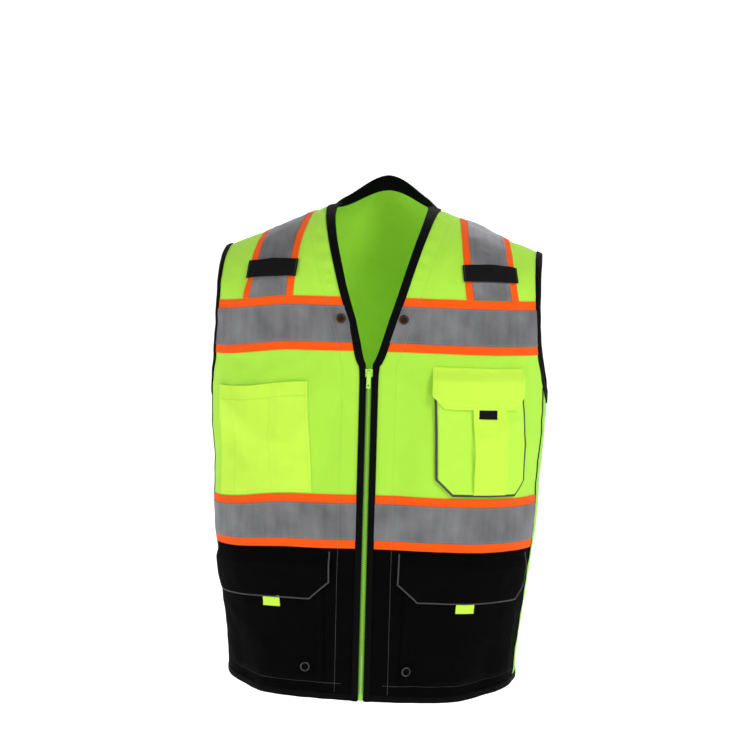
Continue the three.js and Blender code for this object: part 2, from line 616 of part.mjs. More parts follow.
add(
  "zip_box",
  block([-BOX_HALF_WIDTH, ZIP_Y - 2, HEM + GAP], [BOX_HALF_WIDTH, ZIP_Y + 2, HEM + GAP + ZIP_BOX_HEIGHT]),
  LIME_PLASTIC,
);

// The slider: two plates round the teeth, joined by the web, with flanges above and below the zip tapes
const SLIDER_TOP = TEETH_TOP - 1;
const SLIDER_FOOT = SLIDER_TOP - SLIDER_LENGTH;
const SLIDER_HALF_WIDTH = ZIP_OPENING - 0.3;
const PLATE_NEAR = TOOTH_THICKNESS / 2 + GAP;
const PLATE_FAR = PLATE_NEAR + SLIDER_PLATE;
const PIN_Y = ZIP_Y - PLATE_FAR - GAP - PULL_EYE_RADIUS;
const PIN_Z = SLIDER_TOP - 4;
function plate(front) {
  const near = ZIP_Y + front * PLATE_NEAR;
  const far = ZIP_Y + front * PLATE_FAR;
  const flange = ZIP_Y + front * (ZIP_TAPE_THICKNESS / 2 + GAP);
  const [y0, y1] = [near, far].sort((a, b) => a - b);
  const [f0, f1] = [flange, near + front * 0.2].sort((a, b) => a - b);
  const body = block([-SLIDER_HALF_WIDTH, y0, SLIDER_FOOT], [SLIDER_HALF_WIDTH, y1, SLIDER_TOP]);
  const inner = SLIDER_HALF_WIDTH - FLANGE_WIDTH;
  return joined(
    body,
    block([-SLIDER_HALF_WIDTH, f0, SLIDER_FOOT], [-inner, f1, SLIDER_TOP]),
    block([inner, f0, SLIDER_FOOT], [SLIDER_HALF_WIDTH, f1, SLIDER_TOP]),
  );
}
const web = block(
  [-SLIDER_WEB / 2, ZIP_Y - PLATE_NEAR - 0.2, SLIDER_TOP - SLIDER_WEB_LENGTH],
  [SLIDER_WEB / 2, ZIP_Y + PLATE_NEAR + 0.2, SLIDER_TOP],
);
const EAR_INNER = PULL_WIDTH / 2 - 1.2;
const ears = [-1, 1].map((s) => {
  const [x0, x1] = [s * (EAR_INNER + GAP / 2), s * (EAR_INNER + 1.2)].sort((a, b) => a - b);
  return block([x0, PIN_Y - 1, PIN_Z - 1.2], [x1, ZIP_Y - PLATE_FAR + 0.2, PIN_Z + 1.2]);
});
const pin = new THREE.CylinderGeometry(PULL_PIN_RADIUS, PULL_PIN_RADIUS, 2 * EAR_INNER + 2, 12)
  .rotateZ(Math.PI / 2)
  .translate(0, PIN_Y, PIN_Z);
add("zip_slider", joined(plate(-1), plate(1), web, ...ears, pin), LIME_PLASTIC);

// The pull: an eye round the slider's pin, a narrow neck and a tab with a hole in it
const EYE_HALF = EAR_INNER - GAP / 2;
const eyeWall = new THREE.CylinderGeometry(PULL_EYE_RADIUS, PULL_EYE_RADIUS, 2 * EYE_HALF, 16)
  .rotateZ(Math.PI / 2)
  .translate(0, PIN_Y, PIN_Z);
const eyeBore = new THREE.CylinderGeometry(PULL_PIN_RADIUS + 0.3, PULL_PIN_RADIUS + 0.3, 10, 12)
  .rotateZ(Math.PI / 2)
  .translate(0, PIN_Y, PIN_Z);
const TAB_TOP = PIN_Z - PULL_EYE_RADIUS - 1.2;
const PULL_Y = [PIN_Y - PULL_THICKNESS / 2, PIN_Y + PULL_THICKNESS / 2];
const pullTab = block([-PULL_WIDTH / 2, PULL_Y[0], TAB_TOP - PULL_LENGTH], [PULL_WIDTH / 2, PULL_Y[1], TAB_TOP]);
const pullNeck = block([-EYE_HALF, PULL_Y[0], TAB_TOP - 1], [EYE_HALF, PULL_Y[1], PIN_Z]);
const pullHole = new THREE.CylinderGeometry(1.4, 1.4, 10, 12).translate(0, PIN_Y, TAB_TOP - PULL_LENGTH + 4);
add("zip_pull", cut(joined(eyeWall, pullNeck, pullTab), eyeBore, pullHole), LIME_PLASTIC);

// A pocket with cut-off lower corners: its side edges close in by corner over the lowest corner mm.
const cornered = (edge, sign, bottom, corner) => (level) =>
  edge - sign * degSpan(Math.max(corner - (level - bottom), 0) * 0.85, edge, level);

// A patch pocket: a tray of cloth sewn to the panel along its sides and bottom, and open at the top.
function pocket(sign, from, to, bottom, mouth, corner) {
  const start = cornered(from, -1, bottom, corner);
  const end = cornered(to, 1, bottom, corner);
  const inset = (level) => degSpan(POCKET_WALL, (from + to) / 2, level);
  const rows = levels(bottom, mouth, corner ? [bottom + corner] : []);
  const room = levels(bottom + POCKET_WALL, mouth + 3, corner ? [bottom + corner] : []);
  const outside = panel(rows, ...mirrored(sign, start, end), POCKET);
  const inside = panel(
    room,
    ...mirrored(sign, (z) => start(z) + inset(z), (z) => end(z) - inset(z)),
    [PANEL[1] - GAP, POCKET[1] - POCKET_WALL],
  );
  return cut(outside, inside);
}

// A flap hangs from its seam, leaves the panel over FLAP_LEAN and lies over the pocket.
function flap(sign, from, to, seam, height, corner, layer) {
  const bottom = seam - height;
  const lean = (target) => (level) => lerp(target, PANEL[1] + GAP + (target - layer[0]), clamp((level - seam + FLAP_LEAN) / FLAP_LEAN, 0, 1));
  const rows = levels(bottom, seam, [bottom + corner, seam - FLAP_LEAN]);
  const edges = mirrored(sign, cornered(from, -1, bottom, corner), cornered(to, 1, bottom, corner));
  return panel(rows, ...edges, [lean(layer[0]), lean(layer[1])]);
}

// A cord of piping round the sides and bottom of an outline with cut-off corners.
function piping(sign, from, to, top, bottom, corner, layer) {
  const start = cornered(from, -1, bottom, corner);
  const end = cornered(to, 1, bottom, corner);
  const down = levels(bottom + corner, top).reverse();
  const low = [];
  for (let deg = start(bottom) + 4; deg < end(bottom) - 3; deg += COLUMN_DEG) low.push([deg, bottom]);
  const path = [
    ...down.map((level) => [start(level), level]),
    [start(bottom), bottom],
    ...low,
    [end(bottom), bottom],
    ...down.reverse().map((level) => [end(level), level]),
  ];
  return strip(onSide(path, sign), GAP + 0.2, GAP + 0.2 + PIPING_WIDTH, layer);
}

// A short tab that shows below a flap, centred on an angle.
function tab(sign, middle, bottom, layer) {
  const half = degSpan(TAB_WIDTH / 2, middle, bottom);
  return panel([bottom - TAB_HEIGHT, bottom - GAP - PIPING_WIDTH], ...mirrored(sign, middle - half, middle + half), layer);
}

// The wearer's right chest pocket is open; the left one has a pleat, a flap and piping
const POCKET_BOTTOM = WAIST_TOP + POCKET_BAND_CLEARANCE;
add(
  "right_chest_pocket",
  pocket(-1, OPEN_POCKET_FROM, OPEN_POCKET_TO, POCKET_BOTTOM, CHEST_BOTTOM - OPEN_POCKET_DROP, 0),
  YELLOW,
);
const FLAP_SEAM = CHEST_BOTTOM - FLAP_POCKET_DROP;
const POCKET_MOUTH = FLAP_SEAM - FLAP_MOUTH_DROP;
const PIPED_BOTTOM = POCKET_BOTTOM + PIPING_WIDTH + GAP;
add(
  "left_chest_pocket",
  pocket(1, FLAP_POCKET_FROM, FLAP_POCKET_TO, PIPED_BOTTOM, POCKET_MOUTH, FLAP_POCKET_CORNER),
  YELLOW,
);
const POCKET_MIDDLE = (FLAP_POCKET_FROM + FLAP_POCKET_TO) / 2;
const pleatHalf = degSpan(PLEAT_WIDTH / 2, POCKET_MIDDLE, CHEST_BOTTOM);
add(
  "left_chest_pocket_pleat",
  panel(levels(PIPED_BOTTOM + 2, POCKET_MOUTH - 1), POCKET_MIDDLE - pleatHalf, POCKET_MIDDLE + pleatHalf, PLEAT),
  YELLOW,
);
add(
  "left_chest_pocket_piping",
  piping(1, FLAP_POCKET_FROM, FLAP_POCKET_TO, POCKET_MOUTH, PIPED_BOTTOM, FLAP_POCKET_CORNER, [POCKET[0], POCKET[1]]),
  GREY_PIPING,
);
add(
  "chest_flap",
  flap(1, FLAP_POCKET_FROM - 0.5, FLAP_POCKET_TO + 0.5, FLAP_SEAM, FLAP_HEIGHT, FLAP_CORNER, FLAP),
  YELLOW,
);
add("chest_flap_tab", tab(1, POCKET_MIDDLE, FLAP_SEAM - FLAP_HEIGHT + PIPING_WIDTH, FLAP), BLACK_WEBBING);

// Lower pockets with piped flaps
const LOWER_SEAM = WAIST_BOTTOM - LOWER_FLAP_DROP;
const LOWER_FLAP_BOTTOM = LOWER_SEAM - LOWER_FLAP_HEIGHT;
const LOWER_POCKET_BOTTOM = HEM + LOWER_POCKET_RISE;
for (const { side, sign } of SIDES_OF_BODY) {
  const tray = pocket(sign, LOWER_POCKET_FROM, LOWER_POCKET_TO, LOWER_POCKET_BOTTOM, LOWER_SEAM - LOWER_MOUTH_DROP, 0);
  add(`${side}_lower_pocket`, cut(tray, hole(sign, hemEyelet)), BLACK);
  add(
    `${side}_lower_flap`,
    flap(sign, LOWER_FLAP_FROM, LOWER_FLAP_TO, LOWER_SEAM, LOWER_FLAP_HEIGHT, LOWER_FLAP_CORNER, LOWER_FLAP),
    BLACK,
  );
  add(
    `${side}_lower_flap_piping`,
    piping(
      sign,
      LOWER_FLAP_FROM,
      LOWER_FLAP_TO,
      LOWER_SEAM - FLAP_LEAN - 2,
      LOWER_FLAP_BOTTOM,
      LOWER_FLAP_CORNER,
      [LOWER_FLAP[0] + GAP, LOWER_FLAP[1] + GAP],
    ),
    GREY_PIPING,
  );
  add(`${side}_lower_flap_tab`, tab(sign, LOWER_TAB_DEG, LOWER_FLAP_BOTTOM - GAP, LOWER_FLAP), YELLOW);
  add(`hem_eyelet_${side}`, eyelet(sign, hemEyelet, POCKET[1] - POCKET_WALL, POCKET[1]), GUNMETAL);
}

export default vest;
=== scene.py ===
import bpy
import numpy as np
from mathutils import Matrix, Vector


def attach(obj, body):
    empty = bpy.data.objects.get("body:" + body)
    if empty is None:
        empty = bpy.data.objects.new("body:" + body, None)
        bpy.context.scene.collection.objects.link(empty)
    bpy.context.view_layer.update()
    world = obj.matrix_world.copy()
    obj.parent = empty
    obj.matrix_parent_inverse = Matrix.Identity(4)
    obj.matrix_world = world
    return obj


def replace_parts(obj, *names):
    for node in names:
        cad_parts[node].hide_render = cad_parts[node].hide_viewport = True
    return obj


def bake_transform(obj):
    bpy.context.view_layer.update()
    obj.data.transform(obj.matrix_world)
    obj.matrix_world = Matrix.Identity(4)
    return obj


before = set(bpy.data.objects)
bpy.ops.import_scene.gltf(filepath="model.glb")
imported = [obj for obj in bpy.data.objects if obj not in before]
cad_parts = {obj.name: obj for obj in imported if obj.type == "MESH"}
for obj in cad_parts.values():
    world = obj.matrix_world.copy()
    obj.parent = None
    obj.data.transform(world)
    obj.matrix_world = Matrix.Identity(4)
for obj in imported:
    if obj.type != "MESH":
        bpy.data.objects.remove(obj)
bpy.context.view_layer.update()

# ---------------------------------------------------------------- Studio
# A white paper sweep, a large soft key from the front left, a weaker fill and a rim light. The camera
# stands a little to the wearer's left of centre, just above the neck's height, and leans slightly.
CAMERA_TURN = 5.9  # degrees from the front towards the wearer's left
CAMERA_RISE = 4.4
CAMERA_LEAN = 1.55
CAMERA_DISTANCE = 2.6
CAMERA_LENS, SENSOR_WIDTH = 86.0, 36
AIM_SIDE, AIM_LEVEL = -0.007, -0.242
AMBIENT = 0.27

az, el = np.radians([CAMERA_TURN, CAMERA_RISE])
outward = Vector((np.sin(az) * np.cos(el), -np.cos(az) * np.cos(el), np.sin(el)))
sideways = Vector((np.cos(az), np.sin(az), 0))
camera = bpy.data.objects.new("camera", bpy.data.cameras.new("camera"))
camera.data.lens = CAMERA_LENS
camera.data.sensor_width = SENSOR_WIDTH
camera.location = outward * CAMERA_DISTANCE + sideways * AIM_SIDE + Vector((0, 0, AIM_LEVEL))
look = (-outward).to_track_quat("-Z", "Y").to_matrix().to_4x4()
lean = Matrix.Rotation(np.radians(CAMERA_LEAN), 4, "Z")
camera.matrix_world = Matrix.Translation(camera.location) @ look @ lean
bpy.context.scene.collection.objects.link(camera)
bpy.context.scene.camera = camera
bpy.context.scene.view_settings.view_transform = "Standard"

LIGHTS = {  # place, aim, size, watts
    "key": ((2.3, -1.9, 1.9), (0, 0, -0.30), 0.9, 56),
    "fill": ((-2.7, -1.9, 0.5), (0, 0, -0.35), 1.2, 25),
    "rim": ((0.4, 2.4, 2.0), (0, 0, -0.2), 1.6, 20),
}
for label, (place, aim, size, watts) in LIGHTS.items():
    lamp = bpy.data.objects.new(label, bpy.data.lights.new(label, "AREA"))
    lamp.data.energy = watts
    lamp.data.size = size
    lamp.location = place
    lamp.rotation_euler = (Vector(aim) - Vector(place)).to_track_quat("-Z", "Y").to_euler()
    bpy.context.scene.collection.objects.link(lamp)

world = bpy.data.worlds.new("studio")
world.use_nodes = True
backdrop = world.node_tree.nodes["Background"]
backdrop.inputs["Color"].default_value = (1.0, 1.0, 1.0, 1)
backdrop.inputs["Strength"].default_value = AMBIENT
bpy.context.scene.world = world


class Level:
    """A number that varies over a surface. Arithmetic on it adds the Math nodes that work it out."""

    def __init__(self, finish, socket):
        self.finish, self.socket = finish, socket

    def _math(self, operation, *values):
        return self.finish.node("ShaderNodeMath", {"operation": operation}, values)[0]

    def __add__(self, other):
        return self._math("ADD", self, other)

    def __sub__(self, other):
        return self._math("SUBTRACT", self, other)

    def __rsub__(self, other):
        return self._math("SUBTRACT", other, self)

    def __mul__(self, other):
        return self._math("MULTIPLY", self, other)

    def __truediv__(self, other):
        return self._math("DIVIDE", self, other)

    def __gt__(self, other):
        return self._math("GREATER_THAN", self, other)

    def wave(self):
        return self._math("SINE", self)

    def size(self):
        return self._math("ABSOLUTE", self)

    def fraction(self):
        return self._math("FRACT", self)

    def clamped(self, low, high):
        return self._math("MINIMUM", self._math("MAXIMUM", self, low), high)

    __radd__, __rmul__ = __add__, __mul__


class Finish:
    """A material, with one method that adds any node and one that sets the surface."""

    def __init__(self, name):
        self.material = bpy.data.materials.new(name)
        self.material.use_nodes = True
        self.tree = self.material.node_tree
        self.surface = self.tree.nodes["Principled BSDF"]

    def node(self, kind, settings=None, values=()):
        """Adds a node, sets its settings and then its sockets, and returns its outputs."""
        made = self.tree.nodes.new(kind)
        for key, value in (settings or {}).items():
            if key == "stops":
                for stop, (place, colour) in zip(made.color_ramp.elements, value):
                    stop.position, stop.color = place, (*colour, 1)
            else:
                setattr(made, key, value)
        for key, value in values.items() if isinstance(values, dict) else enumerate(values):
            self.put(made.inputs[key], value)
        return [Level(self, output) for output in made.outputs if output.enabled]

    def put(self, socket, value):
        """Links a level to a socket, or sets a plain value on it."""
        if isinstance(value, Level):
            self.tree.links.new(value.socket, socket)
        else:
            socket.default_value = value

    def set(self, **values):
        """Sets or links the shader's sockets, named with underscores, and returns the material."""
        for key, value in values.items():
            self.put(self.surface.inputs[key.replace("_", " ")], value)
        return self.material

    def along_cloth(self):
        """Distances across and along the cloth, in metres, from its own map."""
        place = self.node("ShaderNodeUVMap", {"uv_map": "cloth"})[0]
        across, along, _ = self.node("ShaderNodeSeparateXYZ", {}, [place])
        return place, across, along

    def speckle(self, place, scale, detail=2.0):
        """Noise from 0 to 1, with that many grains to the metre."""
        return self.node("ShaderNodeTexNoise", {}, {"Vector": place, "Scale": scale, "Detail": detail})[0]

    def tint(self, share, first, second):
        """A colour that turns from the first to the second as share goes from 0 to 1."""
        made = self.node("ShaderNodeMix", {"data_type": "RGBA"}, {"Factor": share})
        mix = made[0].socket.node
        mix.inputs["A"].default_value = (*first, 1)
        mix.inputs["B"].default_value = (*second, 1)
        return Level(self, mix.outputs["Result"])

    def relief(self, height, depth):
        """A surface that rises by depth metres where height is 1."""
        return self.node("ShaderNodeBump", {}, {"Height": height, "Distance": depth, "Strength": 1.0})[0]


SWEEP_FLOOR, SWEEP_BACK, SWEEP_BEND = -1.02, 5.0, 2.2
SWEEP_FRONT, SWEEP_HALF, SWEEP_RISE = -6, 8, 5
FLOOR_SHARE, BEND_SHARE = 0.5, 0.3  # of the profile's rows
PAPER_GLOW = 0.60


def sweep_grid(rows, columns):
    """The paper's profile is a floor line, a quarter circle and an upright line, drawn out sideways."""
    t = np.linspace(0, 1, rows)[:, None]
    turn = np.clip((t - FLOOR_SHARE) / BEND_SHARE, 0, 1) * np.pi / 2
    floor_end = SWEEP_BACK - SWEEP_BEND
    y = np.where(t < FLOOR_SHARE, SWEEP_FRONT + (floor_end - SWEEP_FRONT) * t / FLOOR_SHARE, 0)
    y = np.where(t >= FLOOR_SHARE, floor_end + SWEEP_BEND * np.sin(turn), y)
    upright = np.clip((t - FLOOR_SHARE - BEND_SHARE) / (1 - FLOOR_SHARE - BEND_SHARE), 0, 1)
    z = SWEEP_FLOOR + SWEEP_BEND * (1 - np.cos(turn)) + upright * SWEEP_RISE
    x = np.linspace(-SWEEP_HALF, SWEEP_HALF, columns)[None, :]
    return np.stack(np.broadcast_arrays(x, y, z), -1)


sweep = bpy.data.meshes.new("paper_sweep")
grid = sweep_grid(60, 3)
spot = np.arange(grid.shape[0] * grid.shape[1]).reshape(grid.shape[:2])
quads = np.stack([spot[:-1, :-1], spot[:-1, 1:], spot[1:, 1:], spot[1:, :-1]], -1).reshape(-1, 4)
sweep.from_pydata(grid.reshape(-1, 3), [], quads.tolist())
sweep.shade_smooth()
paper = Finish("white_paper")
sweep.materials.append(paper.set(Base_Color=(0.93, 0.93, 0.93, 1), Roughness=0.9,
                                 Emission_Color=(1, 1, 1, 1), Emission_Strength=PAPER_GLOW))
paper_sweep = bpy.data.objects.new("paper_sweep", sweep)
bpy.context.scene.collection.objects.link(paper_sweep)

# ---------------------------------------------------------------- Front, back and lower panels
# The body is cut from woven polyester, lime above the waist band's lower edge and black below it, and
# sewn at the shoulders and sides. It keeps the shape of a worn vest: one squared oval that closes over
# the shoulders. A place on it is an angle (0 centre front, 90 the wearer's left) and a level.
BODY_LENGTH = 0.686
FRONT_DEPTH, BACK_DEPTH = 0.146, 0.122
SQUARENESS = 2.4
YOKE = -0.120
NECK_HALF_WIDTH, NECK_DEPTH_BACK = 0.071, 0.060
VEE = -0.220
ARMPIT = -0.270
ARMHOLE_DEG, ARMHOLE_BEND = 63.0, 5
HEM = -BODY_LENGTH
TRIM_WIDTH, TAPE_WIDTH = 0.075, 0.051
CHEST_TOP = -0.126
WAIST_TOP = HEM + 0.285
BINDING_WIDTH = 0.0095
ZIP_OPENING = 0.0052
VEE_POWER = 0.82
NAPE_RISE, NAPE_HALF_WIDTH = 0.048, 0.094
SHOULDER_RUN, SHOULDER_FALL, SHOULDER_POWER, NECK_DIP = 0.140, 0.056, 1.15, 0.008
HEM_SWEEP = 0.014  # how far the hem rises at the sides
ARMHOLE_TUCK = 0.002
SIDE_SEAM_FRONT, SIDE_SEAM_BACK = 78.0, 102.0
CLOTH_SEAM = WAIST_TOP - TRIM_WIDTH + 0.012
PANEL_FACE = 0.0009
LEVEL_STOPS = (HEM, WAIST_TOP, ARMPIT, CHEST_TOP)
WIDTH_STOPS = (0.209, 0.234, 0.241, 0.246)

# Soft folds in the worn cloth: x and z of both ends, half width and height of the ridge, in mm
FRONT_FOLDS = np.array([
    (-215, -262, -120, -345, 16, 3.2), (-205, -300, -150, -400, 14, -2.4), (-60, -225, -95, -330, 15, 2.2),
    (-45, -260, -60, -392, 12, -2.0), (205, -285, 140, -330, 14, 2.6), (60, -240, 78, -395, 14, 2.4),
    (38, -330, 52, -470, 11, -1.8), (92, -230, 84, -420, 12, 2.0), (-185, -100, -150, -190, 13, 2.2),
    (-105, -40, -70, -150, 12, 1.8), (105, -40, 80, -165, 12, 1.8), (195, -120, 168, -215, 13, 2.6),
    (-150, -50, -190, -120, 11, -1.4), (-40, -490, -52, -680, 14, 2.6), (-64, -560, -70, -686, 10, -2.0),
    (-130, -600, -140, -690, 18, 3.0), (-180, -590, -172, -690, 16, -2.6), (40, -490, 50, -680, 14, 2.4),
    (66, -580, 72, -686, 11, -2.0), (126, -600, 134, -690, 18, 3.0), (176, -600, 168, -690, 15, -2.6),
    (215, -300, 200, -410, 14, 2.4), (-222, -360, -214, -480, 13, 2.4), (150, -205, 195, -235, 10, 1.8),
    (-200, -205, -140, -238, 11, -1.6), (-170, -238, -100, -222, 9, 1.2), (30, -215, 70, -262, 9, 1.4),
])
BACK_FOLDS = np.array([
    (-150, -210, -120, -390, 20, 4.0), (-60, -230, -70, -400, 22, -3.0), (40, -220, 30, -400, 20, 3.4),
    (130, -210, 150, -400, 20, 3.6), (-190, -260, -165, -420, 16, -2.6), (190, -270, 160, -420, 16, -2.6),
    (-120, -490, -130, -690, 22, 4.2), (-30, -500, -20, -690, 24, 3.6), (70, -490, 86, -690, 22, -3.4),
    (150, -500, 156, -690, 18, 3.6), (-185, -500, -180, -690, 16, 3.2), (0, -30, 0, -120, 30, -2.0),
    (-100, -60, -60, -130, 16, 2.0), (100, -60, 60, -130, 16, 2.0),
])

FOLD_GAIN, SWELL_GAIN, CRUMPLE_GAIN = 1.6, 1.2, 1.4


def half_width(level):
    """The skin's half width passes through its four named widths, easing from one to the next."""
    width = np.full(np.shape(level), WIDTH_STOPS[-1])
    for low, high, start, end in zip(LEVEL_STOPS, LEVEL_STOPS[1:], WIDTH_STOPS, WIDTH_STOPS[1:]):
        t = np.clip((level - low) / (high - low), 0, 1)
        eased = start + (end - start) * t * t * (3 - 2 * t)
        width = np.where((level >= low) & (level <= high), eased, width)
    return np.where(level < HEM, WIDTH_STOPS[0], width)


def shoulder_line(x):
    """The shoulder seam falls from the neck as a power a little above 1 of the distance from it."""
    out = (np.abs(x) - NECK_HALF_WIDTH) / SHOULDER_RUN
    return np.where(out < 0, -NECK_DIP * out, -SHOULDER_FALL * np.abs(out) ** SHOULDER_POWER)


def skin(deg, level):
    """A squared oval at each level. Above the yoke it turns over the shoulder on a quarter ellipse,
    and behind the neck it rises by a bell-shaped amount."""
    deg, level = np.broadcast_arrays(np.asarray(deg, float), np.asarray(level, float))
    side, face = np.sin(np.radians(deg)), np.cos(np.radians(deg))
    x = half_width(level) * np.sign(side) * np.abs(side) ** (2 / SQUARENESS)
    y = np.where(face > 0, -FRONT_DEPTH, BACK_DEPTH) * np.abs(face) ** (2 / SQUARENESS)
    turn = np.pi / 2 * np.clip(1 - level / YOKE, 0, 1)
    nape = NAPE_RISE * np.clip(1 - (x / NAPE_HALF_WIDTH) ** 2, 0, 1) ** 2 * np.sin(2 * turn)
    nape = np.where(face < 0, nape, 0)
    over = YOKE + (shoulder_line(x) - YOKE) * np.sin(turn) + nape
    low = np.clip((WAIST_TOP - TRIM_WIDTH - level) / (WAIST_TOP - TRIM_WIDTH - HEM), 0, 1)
    z = np.where(level > YOKE, over, level + HEM_SWEEP * low**2 * side**4)
    return np.stack([x, y * np.where(level > YOKE, np.cos(turn), 1), z], -1)


def bare_normal(deg, level):
    """The cross product of two short chords of the skin."""
    across = skin(deg + 1.0, level) - skin(deg - 1.0, level)
    up = skin(deg, np.minimum(level + 0.002, 0)) - skin(deg, level - 0.002)
    out = np.cross(across, up)
    return out / np.linalg.norm(out, axis=-1, keepdims=True)


def ridges(x, z, folds):
    """Each fold is a bell across its line, and fades towards its two ends."""
    total = np.zeros_like(x)
    for x0, z0, x1, z1, wide, high in folds:
        dx, dz = x1 - x0, z1 - z0
        reach = np.hypot(dx, dz)
        along = ((x - x0) * dx + (z - z0) * dz) / reach**2
        across = ((x - x0) * dz - (z - z0) * dx) / reach
        fade = np.clip(np.minimum(along, 1 - along) * 2.6 + 0.35, 0, 1)
        total += high * np.exp(-(np.abs(across / wide) ** 1.7)) * fade * fade * (3 - 2 * fade)
    return total


def drape(place):
    """How far the worn cloth stands off the skin: long ridges, a broad swell and fine crumples, with
    puckers beside the neckline. It is worked out in millimetres and dies out at the zip, which is stiff."""
    x, y, z = (place[..., k] * 1000 for k in range(3))
    front = 1 / (1 + np.exp(np.clip(y / 9, -40, 40)))
    folds = front * ridges(x, z, FRONT_FOLDS) + (1 - front) * ridges(x, z, BACK_FOLDS)
    swell = 1.3 * np.sin(x / 31 + z / 140 + 0.8) * np.sin(z / 83 + x / 190)
    swell += 0.8 * np.sin(x / 17 - z / 61 + y / 40)
    crumple = 0.35 * np.sin(x / 7.3 + 2 * np.sin(z / 23)) * np.sin(z / 11.7 + 1.5 * np.sin(x / 19 + y / 13))
    crumple += 0.25 * np.sin((x + z) / 6.1 + 1.7 * np.sin(y / 9 + z / 31)) * np.sin((x - z) / 14.9)
    neckline = 5.2 + 65.8 * np.clip((z + 220) / 220, 0, 1) ** VEE_POWER
    beside = np.clip(np.abs(x) - neckline, 0, 200)
    pucker = 1.5 * np.sin(z / 2.6 + 2.2 * np.sin(z / 19) + x / 9) * np.exp(-(((beside - 19) / 9) ** 2))
    pucker *= np.clip((beside - 12) / 5, 0, 1) * np.clip((z + 124) / 12, 0, 1)
    crumple += front * pucker
    free = np.clip((np.abs(x) - 9) / 40, 0, 1)
    free = np.where(y < 0, free * free * (3 - 2 * free), 1)
    stiff = 1 - 0.45 * np.exp(-(((z / 1000 - WAIST_TOP + 0.037) / 0.045) ** 2))
    return (FOLD_GAIN * folds + SWELL_GAIN * swell + CRUMPLE_GAIN * crumple) * free * stiff / 1000


# How far the cloth has slipped at each level, in metres: down at the right side, up beside the zip, and
# sideways at both edges of the neckline
SLUMP_STOPS = (HEM, -0.550, WAIST_TOP - TRIM_WIDTH, WAIST_TOP, CHEST_TOP, -0.060, 0.0)
SIDE_SLUMP = (0.004, 0.005, 0.009, 0.0145, 0.0105, 0.004, 0.0)
ZIP_LIFT = (0.0, 0.003, 0.0045, 0.0045, 0.002, 0.0, 0.0)
DRAWN_STOPS = (HEM, VEE, -0.190, -0.160, -0.100, -0.050, 0.0)
RIGHT_DRAWN = (0.0, 0.0, 0.0055, 0.0085, 0.0080, 0.0055, 0.0030)
LEFT_DRAWN = (0.0, 0.0, -0.0020, -0.0030, -0.0015, 0.0, 0.0)


def slump(place, level):
    """The cloth hangs lower at the wearer's right, by an easing curve of x, and is drawn up beside the
    zip, by a bell of x."""
    right = np.clip((-place[..., 0] - 0.105) / 0.125, 0, 1)
    near = np.exp(-(((place[..., 0] - 0.02) / 0.12) ** 2)) * (place[..., 1] < 0)
    low, lift = (np.interp(level, SLUMP_STOPS, values) for values in (SIDE_SLUMP, ZIP_LIFT))
    return right * right * (3 - 2 * right) * low - near * lift


def drawn_over(place, level):
    """The wearer's right neckline edge is drawn towards the middle, and the left one a little less. It
    eases out towards the sides."""
    right, left = (np.interp(level, DRAWN_STOPS, values) for values in (RIGHT_DRAWN, LEFT_DRAWN))
    near = np.clip((0.125 - np.abs(place[..., 0])) / 0.075, 0, 1)
    near = near * near * (3 - 2 * near) * (place[..., 1] < 0)
    return near * np.where(place[..., 0] < 0, right, left)


def worn(deg, level, height=0.0):
    """A place on the worn cloth, height metres above the panels' inner face."""
    deg, level = np.broadcast_arrays(np.asarray(deg, float), np.asarray(level, float))
    place, out = skin(deg, level), bare_normal(deg, level)
    moved = place + out * (drape(place) + height)[..., None]
    moved[..., 0] += drawn_over(place, level)
    moved[..., 2] -= slump(place, level)
    return moved


def deg_at(x, level):
    """The angle at which the front of the skin has this distance from the centre line."""
    return np.degrees(np.arcsin(np.clip(np.abs(x) / half_width(level), 0, 1) ** (SQUARENESS / 2)))


def vee_x(level):
    """The front neckline widens from the zip to the neck as a power of the height climbed."""
    turn = np.pi / 2 * np.clip(1 - level / YOKE, 0, 1)
    height = np.where(level > YOKE, YOKE - YOKE * np.sin(turn), level)
    up = np.clip((height - VEE) / -VEE, 0, 1)
    return ZIP_OPENING + (NECK_HALF_WIDTH - ZIP_OPENING) * up**VEE_POWER


def deg_span(width, deg, level):
    """The degrees that span a distance along the skin."""
    return width / np.linalg.norm(skin(deg + 0.5, level) - skin(deg - 0.5, level), axis=-1)


def armhole(level, reach=0.0):
    """The armhole's edge moves from its angle on the shoulder to the side as a power of the depth."""
    low = np.clip(level / (ARMPIT - reach), 0, 1)
    top = ARMHOLE_DEG - deg_span(reach, 180 - ARMHOLE_DEG, level)
    return top + (90 - top) * low**ARMHOLE_BEND


def zip_edge(level):
    """The panels' front edge, inside the binding."""
    return deg_at(vee_x(level) + BINDING_WIDTH * 0.45, level)


def side_edge(level):
    """The front panels' outer edge: the armhole, and the side seam below it."""
    return np.minimum(armhole(level, ARMHOLE_TUCK), SIDE_SEAM_FRONT)


def back_edge(level):
    """The back panel's edge at the wearer's left, likewise."""
    return 180 - np.minimum(armhole(level, ARMHOLE_TUCK), 180 - SIDE_SEAM_BACK)


def metric_map(grid):
    """Distances along a grid's rows and columns, in metres, so that a pattern keeps its true size."""
    across = np.linalg.norm(np.diff(grid, axis=1), axis=-1)
    along = np.linalg.norm(np.diff(grid, axis=0), axis=-1)
    u = np.concatenate([np.zeros((grid.shape[0], 1)), np.cumsum(across, 1)], 1)
    v = np.concatenate([np.zeros((1, grid.shape[1])), np.cumsum(along, 0)], 0)
    return np.stack([u - u[:, u.shape[1] // 2][:, None], v], -1)


